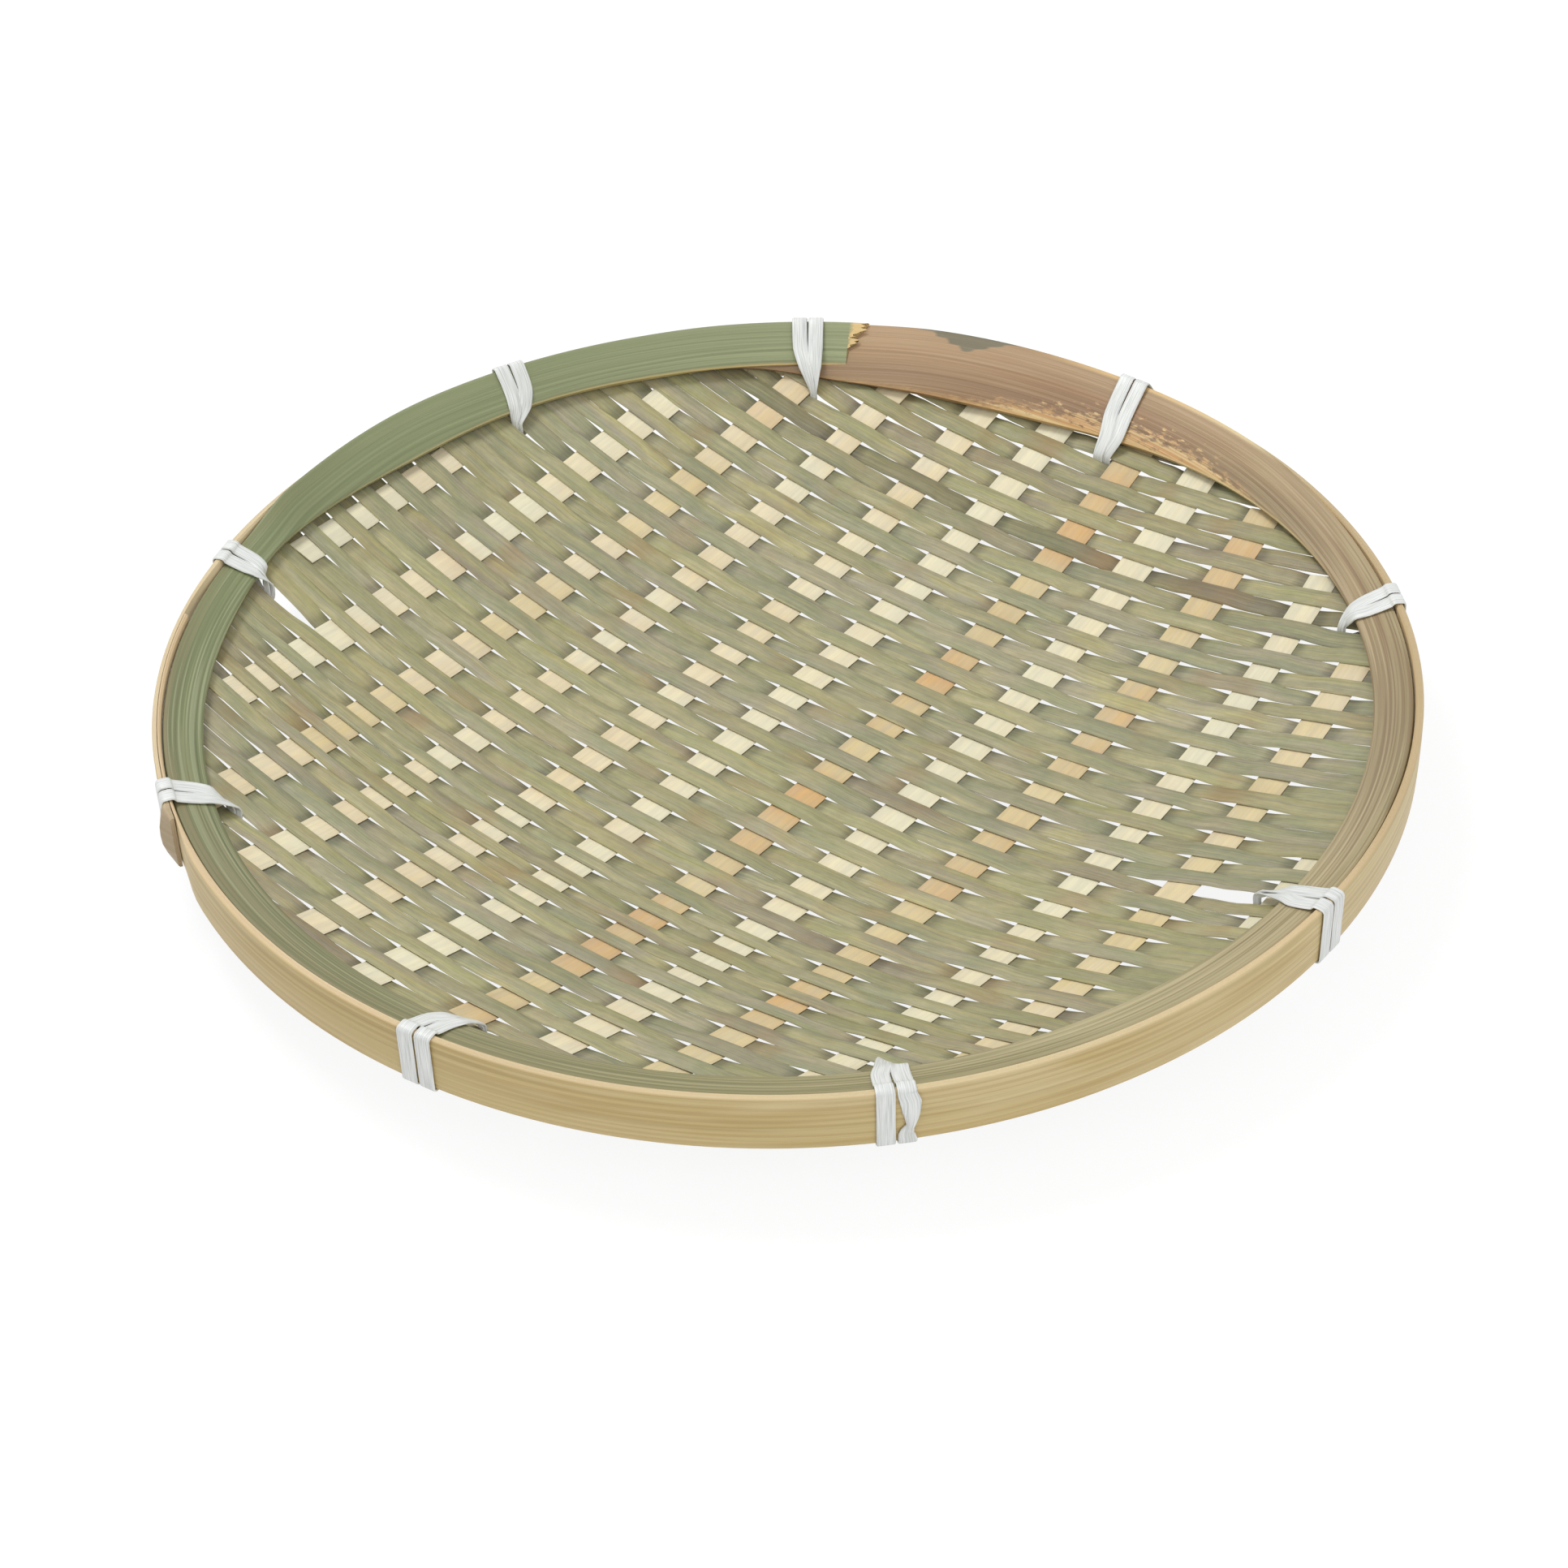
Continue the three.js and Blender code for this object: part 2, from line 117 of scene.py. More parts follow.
def wave(place, seed, length):
    # gentle repeatable wobble between -1 and 1
    total = 0.0
    for turn, share in ((1.0, 0.55), (2.3, 0.3), (4.9, 0.15)):
        total += share * math.sin(place * turn * 2 * math.pi / length + seed * (1.7 + turn))
    return total


# Materials

def nodeOf(tree, kind, values=None, **settings):
    node = tree.nodes.new(kind)
    for key, value in settings.items():
        setattr(node, key, value)
    for socket, value in (values or {}).items():
        if isinstance(value, bpy.types.NodeSocket):
            tree.links.new(value, node.inputs[socket])
        else:
            node.inputs[socket].default_value = value
    return node


def maths(tree, operation, a, b=0.0, c=None):
    values = {0: a, 1: b}
    if c is not None:
        values[2] = c
    return nodeOf(tree, "ShaderNodeMath", values, operation=operation).outputs[0]


def times(tree, product, *factors):
    for factor in factors:
        product = maths(tree, "MULTIPLY", product, factor)
    return product


def attributeOf(tree, name):
    return nodeOf(tree, "ShaderNodeAttribute", attribute_name=name, attribute_type="GEOMETRY").outputs["Fac"]


def mixColour(tree, factor, a, b):
    return nodeOf(tree, "ShaderNodeMix", {0: factor, 6: a, 7: b}, data_type="RGBA").outputs[2]


def mapped(tree, value, span=(0.0, 1.0), result=(0.0, 1.0)):
    values = {0: value, 1: span[0], 2: span[1], 3: result[0], 4: result[1]}
    return nodeOf(tree, "ShaderNodeMapRange", values).outputs[0]


def ramp(tree, factor, stops):
    # each stop is a place with a colour code or a share of white
    node = nodeOf(tree, "ShaderNodeValToRGB", {0: factor})
    elements = node.color_ramp.elements
    while len(elements) < len(stops):
        elements.new(0.5)
    for element, (place, colour) in zip(elements, stops):
        element.position = place
        element.color = hexColour(colour) if isinstance(colour, str) else (colour, colour, colour, 1)
    return node.outputs["Color"]


def hexColour(code):
    channels = [int(code[i:i + 2], 16) / 255 for i in (1, 3, 5)]
    linear = [c / 12.92 if c <= 0.04045 else ((c + 0.055) / 1.055) ** 2.4 for c in channels]
    return (*linear, 1.0)


def makeFibreGroup():
    # long bamboo fibres that follow a strip: along and across are in millimetres
    group = bpy.data.node_groups.new("bambooFibre", "ShaderNodeTree")
    sockets = {
        "INPUT": ("Along", "Across", "Seed", "Fineness", "Stretch", "Pace"),
        "OUTPUT": ("Fibre", "Drift", "Streak", "Line", "Fleck"),
    }
    for side, names in sockets.items():
        for name in names:
            group.interface.new_socket(name, in_out=side, socket_type="NodeSocketFloat")
    given = group.nodes.new("NodeGroupInput").outputs
    result = group.nodes.new("NodeGroupOutput").inputs
    seedShift = times(group, given["Seed"], 61.7)
    broad = times(group, given["Fineness"], 0.35)
    thin = times(group, given["Fineness"], 1.1)
    # each noise's pace along and across the strip, its detail and its roughness
    noises = {
        "Fibre": (given["Stretch"], given["Fineness"], 3.0, 0.6),
        "Drift": (given["Pace"], 0.12, 2.0, 0.5),
        "Streak": (given["Pace"], broad, 1.0, 0.5),
        "Line": (0.012, thin, 1.0, 0.4),
        "Fleck": (0.35, 1.0, 3.0, 0.65),
    }
    for name, (alongPace, acrossPace, detail, roughness) in noises.items():
        x = times(group, given["Along"], alongPace)
        y = times(group, given["Across"], acrossPace)
        place = nodeOf(group, "ShaderNodeCombineXYZ", {0: x, 1: y, 2: seedShift}).outputs[0]
        values = {"Vector": place, "Scale": 1.0, "Detail": detail, "Roughness": roughness}
        noise = nodeOf(group, "ShaderNodeTexNoise", values)
        group.links.new(mapped(group, noise.outputs[0], (0.3, 0.7)), result[name])
    return group


fibreGroup = makeFibreGroup()


def newMaterial(name, specular):
    material = bpy.data.materials.new(name)
    material.use_nodes = True
    tree = material.node_tree
    shader = tree.nodes["Principled BSDF"]
    shader.inputs["Specular IOR Level"].default_value = specular
    return material, tree, shader


def finishSurface(tree, shader, colour, height, look):
    # the surface is smoother on its raised fibres than between them
    tree.links.new(colour, shader.inputs["Base Color"])
    tree.links.new(mapped(tree, height, result=look["roughness"]), shader.inputs["Roughness"])
    relief = nodeOf(tree, "ShaderNodeBump", {"Height": height, "Strength": 0.6, "Distance": look["relief"]})
    tree.links.new(relief.outputs[0], shader.inputs["Normal"])


def fibreOf(tree, fineness, stretch, pace):
    values = {name: attributeOf(tree, name.lower()) for name in ("Along", "Across", "Seed")}
    values.update({"Fineness": fineness, "Stretch": stretch, "Pace": pace})
    return nodeOf(tree, "ShaderNodeGroup", values, node_tree=fibreGroup).outputs


splintLook = {
    "specular": 0.35,
    "stretch": 0.05,
    "streakShade": (0.94, 1.05),
    "stainSeed": 17.3,
    "stainPace": 0.045,
    "stainSpan": (0.58, 0.74),
    "roughness": (0.62, 0.48),
    "relief": 0.00006,
}


def makeSplintMaterial(name, finish):
    # a split bamboo strip: its own tone, slow drift along it, fine fibres and a few brown stains
    material, tree, shader = newMaterial(name, splintLook["specular"])
    fibre = fibreOf(tree, finish["fineness"], splintLook["stretch"], finish["pace"])
    drifted = maths(tree, "MULTIPLY_ADD", fibre["Drift"], finish["driftShare"], attributeOf(tree, "tone"))
    base = ramp(tree, drifted, finish["tones"])
    grain = mapped(tree, fibre["Fibre"], result=finish["fibreShade"])
    band = mapped(tree, fibre["Streak"], result=splintLook["streakShade"])
    fleck = mapped(tree, fibre["Fleck"], result=finish["fleckShade"])
    # the shade mark holds each strip's own brightness and, on the wefts, painted shade where they dive under
    # the warps
    value = times(tree, grain, band, fleck, attributeOf(tree, "shade"))
    saturation = mapped(tree, fibre["Streak"], result=finish["saturation"])
    toned = {"Saturation": saturation, "Value": value, "Color": base}
    shaded = nodeOf(tree, "ShaderNodeHueSaturation", toned).outputs[0]
    stainSeed = times(tree, attributeOf(tree, "seed"), splintLook["stainSeed"])
    stainPlace = times(tree, attributeOf(tree, "along"), splintLook["stainPace"])
    stainVector = nodeOf(tree, "ShaderNodeCombineXYZ", {0: stainPlace, 2: stainSeed}).outputs[0]
    stainNoise = nodeOf(tree, "ShaderNodeTexNoise", {"Vector": stainVector, "Scale": 1.0, "Detail": 2.0})
    stain = mapped(tree, stainNoise.outputs[0], splintLook["stainSpan"], (0.0, finish["stainShare"]))
    colour = mixColour(tree, stain, shaded, hexColour(finish["stain"]))
    finishSurface(tree, shader, colour, fibre["Fibre"], splintLook)
    return material


hoopLook = {
    "specular": 0.35,
    "stretch": 0.012,
    "pace": 0.022,
    "outerWobble": 0.22,
    "outerSpan": (0.6, 0.78),
    "streakSpan": (0.35, 0.75),
    "darkSpan": (0.6, 0.74),
    "lightSpan": (0.36, 0.22),
    "scrapSpan": (0.4, 0.65),
    "scrapShare": (0.0, 0.92),
    "tornSpan": (-0.02, 0.14),
    "roughness": (0.55, 0.42),
    "relief": 0.0001,
}


def makeHoopMaterial(name, finish):
    # a bent strip: colours along its length, streaks and thin lines that follow it, cut or torn edges
    material, tree, shader = newMaterial(name, hoopLook["specular"])
    fibre = fibreOf(tree, finish["fineness"], hoopLook["stretch"], hoopLook["pace"])
    along = attributeOf(tree, "turn")
    rise = attributeOf(tree, "rise")

    def layer(under, mask, key):
        return mixColour(tree, mask, under, ramp(tree, along, finish[key]))

    def shared(mask, key):
        return times(tree, mask, ramp(tree, along, finish[key]))

    wobble = maths(tree, "SUBTRACT", fibre["Drift"], 0.5)
    colour = ramp(tree, maths(tree, "MULTIPLY_ADD", wobble, finish["driftShare"], along), finish["tones"])
    outward = maths(tree, "SUBTRACT", fibre["Streak"], 0.5)
    outward = maths(tree, "MULTIPLY_ADD", outward, hoopLook["outerWobble"], rise)
    colour = layer(colour, shared(mapped(tree, outward, hoopLook["outerSpan"]), "outerShare"), "outerTones")
    streak = mapped(tree, fibre["Streak"], hoopLook["streakSpan"])
    colour = layer(colour, shared(streak, "streakShare"), "streakTones")
    for span, key in (("darkSpan", "darkLines"), ("lightSpan", "lightLines")):
        line = mapped(tree, fibre["Line"], hoopLook[span])
        colour = layer(colour, shared(line, "lineShare"), key)
    scrap = mapped(tree, attributeOf(tree, "scrap"), hoopLook["scrapSpan"], hoopLook["scrapShare"])
    colour = mixColour(tree, scrap, colour, hexColour(finish["scrap"]))
    ragged = maths(tree, "SUBTRACT", shared(fibre["Fleck"], "tornShare"), rise)
    torn = mapped(tree, ragged, hoopLook["tornSpan"])
    colour = mixColour(tree, torn, colour, ramp(tree, fibre["Line"], finish["tornTones"]))
    grain = mapped(tree, fibre["Fibre"], result=finish["fibreShade"])
    # the shade mark carries painted shade and highlight on the inner hoop's brown band and painted shadow
    # under its lap
    value = times(tree, grain, attributeOf(tree, "shade"))
    shaded = nodeOf(tree, "ShaderNodeHueSaturation", {"Value": value, "Color": colour}).outputs[0]
    finished = layer(shaded, shared(attributeOf(tree, "edge"), "edgeShare"), "edgeTones")
    finishSurface(tree, shader, finished, fibre["Fibre"], hoopLook)
    return material


strapLook = {
    "specular": 0.45,
    "alongPace": 0.12,
    "acrossPace": 4.0,
    # grey to white: painted shade and highlight over the white plastic
    "tones": [(0.3, "#C3C6C3"), (0.5, "#DBDDDA"), (0.75, "#F0F1EF")],
    "roughness": (0.45, 0.32),
    "relief": 0.0001,
}


def makeStrapMaterial():
    # white plastic with fine ribs along the strap, streaked grey to white as painted shade and highlight
    # along the ribs
    material, tree, shader = newMaterial("strapPlastic", strapLook["specular"])
    along = times(tree, attributeOf(tree, "along"), strapLook["alongPace"])
    across = times(tree, attributeOf(tree, "across"), strapLook["acrossPace"])
    place = nodeOf(tree, "ShaderNodeCombineXYZ", {0: along, 1: across}).outputs[0]
    rib = nodeOf(tree, "ShaderNodeTexNoise", {"Vector": place, "Scale": 1.0, "Detail": 2.0}).outputs[0]
    finishSurface(tree, shader, ramp(tree, rib, strapLook["tones"]), rib, strapLook)
    return material


# Meshes

def rollStrip(bm, stations, corners, placeOf, marksOf):
    # a flat grid rolled into a closed tube along its stations, then capped at both ends
    layers = {key: bm.verts.layers.float.get(key) or bm.verts.layers.float.new(key) for key in marksOf(0, 0)}
    before = set(bm.verts)
    bmesh.ops.create_grid(bm, x_segments=stations - 1, y_segments=corners, size=1)
    fresh = [v for v in bm.verts if v not in before]
    for v in fresh:
        station = round((v.co.x + 1) / 2 * (stations - 1))
        corner = round((v.co.y + 1) / 2 * corners) % corners
        for key, value in marksOf(station, corner).items():
            v[layers[key]] = value
        v.co = placeOf(station, corner)
    bmesh.ops.remove_doubles(bm, verts=fresh, dist=1e-5)
    fresh = [v for v in bm.verts if v not in before]
    ends = [e for v in fresh for e in v.link_edges if e.is_boundary]
    bmesh.ops.holes_fill(bm, edges=list(set(ends)), sides=0)
    bmesh.ops.recalc_face_normals(bm, faces=list({f for v in fresh for f in v.link_faces}))


def finishPiece(name, bm, material, node, sharpAngle, turn=0.0):
    bmesh.ops.transform(bm, matrix=Matrix.Rotation(math.radians(turn), 4, "Z"), verts=bm.verts)
    bmesh.ops.translate(bm, vec=rim["axis"], verts=bm.verts)
    bmesh.ops.scale(bm, vec=(0.001, 0.001, 0.001), verts=bm.verts)
    for face in bm.faces:
        face.smooth = True
    for edge in bm.edges:
        if len(edge.link_faces) == 2 and edge.calc_face_angle(0) > math.radians(sharpAngle):
            edge.smooth = False
    mesh = bpy.data.meshes.new(name)
    bm.to_mesh(mesh)
    bm.free()
    mesh.materials.append(material)
    piece = added(name, mesh)
    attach(piece, "root")
    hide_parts(node)


# Mat: the layout of the weave, in a frame turned so that x runs across the wefts and y along them

mat = {
    "sag": 17.05,
    "heightAtRim": 6.05,
    "bellyRadius": 28.0,
    "turn": 51.0,
    "edgeRadius": rim["matEdge"],
    "hollowRadius": rim["innerOutside"] - rim["innerWidth"] * math.cos(math.radians(rim["innerTilt"])),
}

warps = {
    "count": 12,
    "width": 7.0,
    "thickness": 0.5,
    "seenThickness": 0.34,
    "waver": 0.15,
    "shades": (0.98, 1.03),
    "seenWidths": [7.2, 8.4, 8.0, 7.3, 7.8, 8.0, 7.8, 8.2, 8.0, 6.9, 7.5, 7.3],
    "seenShifts": [0.2, 0.35, 0.55, 0.25, 0.45, 0.8, 0.25, 0.7, 0.55, 0.0, -0.3, 0.0],
    "edgeMargin": 12.0,
    "wander": [0, -0.5, -0.3, 0.5, -1.7, -1.2, -2.7, -1.3, -1.8, -3.6, -1.6, -2.4],
    "lean": 0.006,
    "fan": -0.0243,
    "barrel": -0.0882,
    "stations": 150,
}

wefts = {
    "count": 56,
    "thickness": 0.5,
    "firstMargin": 6.4,
    "lastMargin": 4.9,
    "slit": 0.6,
    "tight": {"at": -62.0, "reach": 19.0, "extra": 0.28},
    "lean": 0.022,
    "fan": -0.0153,
    "bow": 3.27,
    "bowFan": -0.0212,
    "pushed": {0: 1, 1: 0.55, 2: 0.2},  # how much a strap pushes the nearest wefts on each side
    "endRoom": 4.9,
    "seenThickness": 0.42,
    "lift": 0.46,
    "bend": 0.38,
    "flatMargin": -0.1,
    "uneven": 0.35,
    "tilt": 0.05,
    "tones": (0.0, 0.62),
    "shades": (0.87, 1.07),
    # painted shade: how much darker a weft is painted where it dives under a warp
    "sunkPaintedShade": 0.4,
    "stations": 190,
    "darkOnes": {47: 0.66, 46: 0.84},
    "seed": 5,
}


def dish(radius):
    climb = max(0.0, radius - mat["bellyRadius"]) / (mat["hollowRadius"] - mat["bellyRadius"])
    return mat["heightAtRim"] - mat["sag"] + mat["sag"] * climb * climb


def placeWarps():
    first = mat["edgeRadius"] - warps["edgeMargin"]
    pitch = 2 * first / (warps["count"] - 1)
    return [first - k * pitch + warps["wander"][k] for k in range(warps["count"])]


def placeWefts():
    # the wefts lie a little closer together where the photo's are tight
    first = wefts["firstMargin"] - mat["edgeRadius"]
    span = mat["edgeRadius"] - wefts["lastMargin"] - first
    gaps = wefts["count"] - 1
    shares = [1 - bump(wefts["tight"], first + span * (i + 0.5) / gaps) for i in range(gaps)]
    places = [first]
    for share in shares:
        places.append(places[-1] + span * share / sum(shares))
    return places


warpPlaces = placeWarps()
weftPlaces = placeWefts()
pitches = [b - a for a, b in zip(weftPlaces, weftPlaces[1:])]
weftWidths = [min(a, b) - wefts["slit"] for a, b in zip([99.0] + pitches, pitches + [99.0])]
strapHoles = []


def weftLine(i, y):
    x = weftPlaces[i]
    along = y / mat["edgeRadius"]
    place = x + wefts["lean"] * y + wefts["fan"] * x * along
    place += (wefts["bow"] + wefts["bowFan"] * x) * along * along
    for hole in strapHoles:
        share = wefts["pushed"].get(int(abs(i - hole["weft"] - 0.5)), 0)
        place += (share if i > hole["weft"] else -share) * bump(hole, y)
    return place


def warpLine(k, x):
    y = warpPlaces[k]
    along = x / mat["edgeRadius"]
    return y + warps["lean"] * x + warps["fan"] * y * along + warps["barrel"] * y * along * along


def crossing(i, k):
    y = warpPlaces[k]
    for _ in range(4):
        y = warpLine(k, weftLine(i, y))
    return y


def ownReach(i, side):
    y = side * 60.0
    for _ in range(6):
        corner = abs(weftLine(i, y)) + weftWidths[i] / 2
        y = side * math.sqrt(max(1.0, mat["edgeRadius"] ** 2 - corner ** 2))
    return y


def twin(i):
    return i - 1 if i % 2 else i + 1


def weftReach(i, side):
    return min(ownReach(i, 1), ownReach(twin(i), 1)) if side > 0 else ownReach(i, -1)


def clears(i, k):
    y = crossing(i, k)
    end = warps["width"] / 2 + wefts["endRoom"]
    return abs(y) + end < abs(weftReach(i, math.copysign(1, y)))


def crosses(i, k):
    return clears(i, k) and (warpPlaces[k] < 0 or clears(twin(i), k))


def goesOver(i, k):
    return (i + k) % 2 == 1


# Ties: a strap wound twice round the rim and through the mat

ties = {
    "pitch": 3.9,
    "seenWidth": 3.5,
    "seenThickness": 0.42,
    "stand": 0.1,
    "aside": 0.24,
    "edgeRoom": 0.25,
    "pushReach": 8.0,
    "holeRoom": 0.1,
    "searchReach": 8.0,
    "searchStep": 0.25,
    "pinched": 6,
    "stubLength": 3.3,
    "startStub": {"height": 3.6, "width": 2.6},
    "endStub": {"height": 4.7, "width": 2.4},
    "tension": 0.8,
    "stepsPerStation": 4,
}

# each tie's angle and, for its two windings, their width where they pass the mat, how far each lies
# from the slot's middle, the slot's wish sideways, its gape, and how far they lean across the hoops
tiePasses = [
    dict(zip(("angle", "width", "spread", "wish", "gape", "lean"), row))
    for row in (
        (118.8, 1.9, 0.45, 3.5, 1.0, 0.0),
        (86.4, 1.4, 0.1, 3.0, 0.8, 0.0),
        (48.6, 2.5, 0.9, -4.0, 0.7, 2.8),
        (6.3, 1.5, 0.15, 0.0, 1.0, 0.0),
        (-39.5, 1.4, 0.1, 0.0, 5.0, 0.0),
        (-82.7, 2.9, 1.5, 0.0, 0.7, 0.0),
        (-122.4, 1.4, 0.1, 0.0, 0.8, 0.0),
        (-163.2, 2.6, 0.7, 0.0, 0.8, 0.0),
        (159.5, 1.9, 0.45, 0.0, 3.4, 0.0),
    )
]


# Hoops: their sizes and colours

def steady(tone):
    return [(0.0, tone), (1.0, tone)]


outerHoop = {
    "height": 12.4,
    "thickness": 1.7,
    "ply": 0.75,
    "lapFrom": 170.0,
    "lapSpan": 30.8,
    "underTaper": 6.0,
    "overTaper": 10.0,
    "flapSpan": 3.4,
    "flapLift": 0.1,
    "flapSwell": 2.2,
    "lumpRise": (0, 0.28),
    "lumpFall": (0.45, 0.95),
    "seenGap": 0.01,
    "insideShares": (0.0, 0.04, 0.5, 0.96, 1.0),
    "outsideShares": (1.0, 0.965, 0.86, 0.68, 0.5, 0.32, 0.14, 0.03, 0.0),
    "softEdge": 0.3,
    "crown": 0.12,
    "wobble": 0.12,
    "scrapShare": 0.9,
    "step": 1.5,
    "tones": [
        (0.0, "#BBA372"), (0.1, "#C5AF7F"), (0.2, "#BDA671"), (0.27, "#BEA772"), (0.36, "#CDB98C"),
        (0.48, "#C8B485"), (0.6, "#BCA572"), (0.8, "#C0A974"), (1.0, "#B39A68"),
    ],
    "streakTones": [(0.0, "#CDBA88"), (1.0, "#CAB682")],
    "streakShare": steady(0.5),
    "outerTones": steady("#C6B283"),
    "outerShare": steady(0.0),
    "lineShare": steady(0.3),
    "darkLines": steady("#A98F5E"),
    "lightLines": steady("#D2C08E"),
    "tornShare": steady(0.0),
    "tornTones": steady("#D2C08E"),
    "scrap": "#AB987B",
    "edgeShare": steady(1.0),
    "edgeTones": [
        (0.0, "#E6CBA2"), (0.06, "#E6CBA2"), (0.3, "#E8D3A6"), (0.38, "#E0C79B"), (0.42, "#CFB68B"),
        (0.54, "#CDB68D"), (0.585, "#E0CCA2"), (0.66, "#E4D3A8"), (1.0, "#E8D2AC"),
    ],
    "fineness": 1.3,
    "driftShare": 0.25,
    "fibreShade": (0.9, 1.06),
}

innerHoop = {
    "thickness": 1.3,
    "ply": 0.7,
    "lapFrom": 96.0,
    "lapSpan": 15.0,
    "taper": 9.0,
    "wideBack": {"at": 63, "reach": 26, "extra": 6.8},
    "wideFront": {"at": -60, "reach": 20, "extra": 1},
    "shaped": [
        {"at": 114, "reach": 12, "extra": -0.5},
        {"at": 134, "reach": 8, "extra": 0.7},
        {"at": 154, "reach": 9, "extra": -1.2},
    ],
    "tuck": 1.9,
    "tuckSpan": (82, 94),
    # the angles between which the strip climbs the outer hoop and lies over it, and by how much
    "ride": {
        "climbFrom": (-4, 64), "climbTo": (140, 160), "climbed": 0.6, "above": 1.02,
        "coverFrom": (50, 78), "coverTo": (128, 149), "over": 1.7,
    },
    "seenOutside": 128.22,
    # rows: how many degrees before the end each lies, and how far it is torn
    "torn": {"slant": (2.3, -1.1), "jag": 0.55, "rows": ((0.66, 0.35), (0.33, 0.75), (0, 1.0)), "seed": 4},
    "softEdge": 0.25,
    "crown": 0.22,
    "step": 1.5,
    "across": 24,
    "brownSpan": ((2, 30), (110, 120)),
    # painted shade and highlight on the brown band: darker along its lower part and lighter near its top edge
    "cupLightAndShade": ({"at": 0.22, "reach": 0.2, "extra": 1.0}, {"at": 0.78, "reach": 0.22, "extra": -0.45}),
    "cupShade": 0.2,
    # painted shadow on the brown end of the strip where its green end lies over it
    "coveredSpan": (81, 87),
    "coveredPaintedShadow": 0.3,
    # painted highlight: a cream band along the strip's top edge at the back right, coloured through the edge
    # mark and the edge tones
    "highlightSpan": ((28, 36), (50, 66)),
    "highlightFrom": 0.94,
    "highlightShare": 0.95,
    "scrapPatch": {"at": 69, "reach": 5, "depth": 0.27, "blur": 0.06},
    "tones": [
        (0.0, "#AE9170"), (0.05, "#A68764"), (0.09, "#9C7B57"), (0.12, "#987755"), (0.15, "#9E825F"),
        (0.18, "#A8926D"), (0.24, "#A49370"), (0.3, "#A39373"), (0.36, "#B3A680"), (0.42, "#BBB089"),
        (0.47, "#A79C77"), (0.52, "#9C946E"), (0.58, "#918B67"), (0.64, "#8A8664"), (0.7, "#868963"),
        (0.78, "#838A64"), (0.88, "#89906B"), (1.0, "#8E936F"),
    ],
    "streakTones": [
        (0.0, "#C3A77F"), (0.1, "#8A6A4B"), (0.2, "#8B7350"), (0.3, "#8E7B5A"), (0.4, "#8D8460"),
        (0.5, "#827F58"), (0.65, "#6F7652"), (0.75, "#697550"), (0.9, "#7B8560"), (1.0, "#A2A880"),
    ],
    "streakShare": [
        (0.0, 0.3), (0.14, 0.35), (0.25, 0.6), (0.45, 0.5), (0.7, 0.6),
        (0.82, 0.3), (0.92, 0.3), (1.0, 0.45),
    ],
    "outerTones": [
        (0.0, "#B49878"), (0.15, "#AE9672"), (0.25, "#A99F7A"), (0.4, "#A89C76"), (0.5, "#8F8861"),
        (0.6, "#867E5B"), (0.72, "#847B5A"), (0.8, "#85835F"), (0.88, "#929671"), (1.0, "#8F9570"),
    ],
    "outerShare": [
        (0.0, 0.5), (0.3, 0.7), (0.5, 0.75), (0.75, 0.85), (0.85, 0.3),
        (1.0, 0.2),
    ],
    "lineShare": [
        (0.0, 0.08), (0.14, 0.15), (0.24, 0.65), (0.36, 0.65), (0.5, 0.5),
        (0.76, 0.6), (0.82, 0.2), (0.9, 0.2), (1.0, 0.3),
    ],
    "darkLines": [
        (0.0, "#8E6B4C"), (0.2, "#86694D"), (0.3, "#7C694C"), (0.42, "#85784F"), (0.52, "#6F6F48"),
        (0.7, "#5F6A45"), (0.85, "#6F7B52"), (1.0, "#667049"),
    ],
    "lightLines": [
        (0.0, "#C2A585"), (0.2, "#BFA887"), (0.3, "#C2AE8D"), (0.45, "#BCB088"), (0.6, "#A5A57C"),
        (0.72, "#A3A986"), (0.85, "#9CA47E"), (1.0, "#AEB58C"),
    ],
    "tornShare": [
        (0.0, 0.05), (0.07, 0.08), (0.1, 0.42), (0.13, 0.6), (0.155, 0.55),
        (0.185, 0.0), (0.82, 0.0), (0.9, 0.05), (1.0, 0.07),
    ],
    "tornTones": [(0.25, "#CF9F68"), (0.45, "#DDB983"), (0.62, "#E6CD98"), (0.8, "#C99B66")],
    "scrap": "#706C57",
    "edgeShare": [
        (0.0, 0.3), (0.07, 0.4), (0.1, 0.9), (0.2, 0.9), (0.24, 0.15),
        (0.72, 0.1), (0.8, 0.4), (0.88, 0.8), (1.0, 1.0),
    ],
    "edgeTones": [
        (0.0, "#9A744F"), (0.06, "#B98D5C"), (0.1, "#DDBB84"), (0.13, "#DDBB84"), (0.165, "#E2CFA0"),
        (0.2, "#DCC899"), (0.24, "#A18B6B"), (0.5, "#8F8860"), (0.75, "#8D8A64"), (0.85, "#C4B98C"),
        (0.95, "#CDB97C"), (1.0, "#DBBD83"),
    ],
    "fineness": 1.6,
    "driftShare": 0.05,
    "fibreShade": (0.86, 1.08),
}


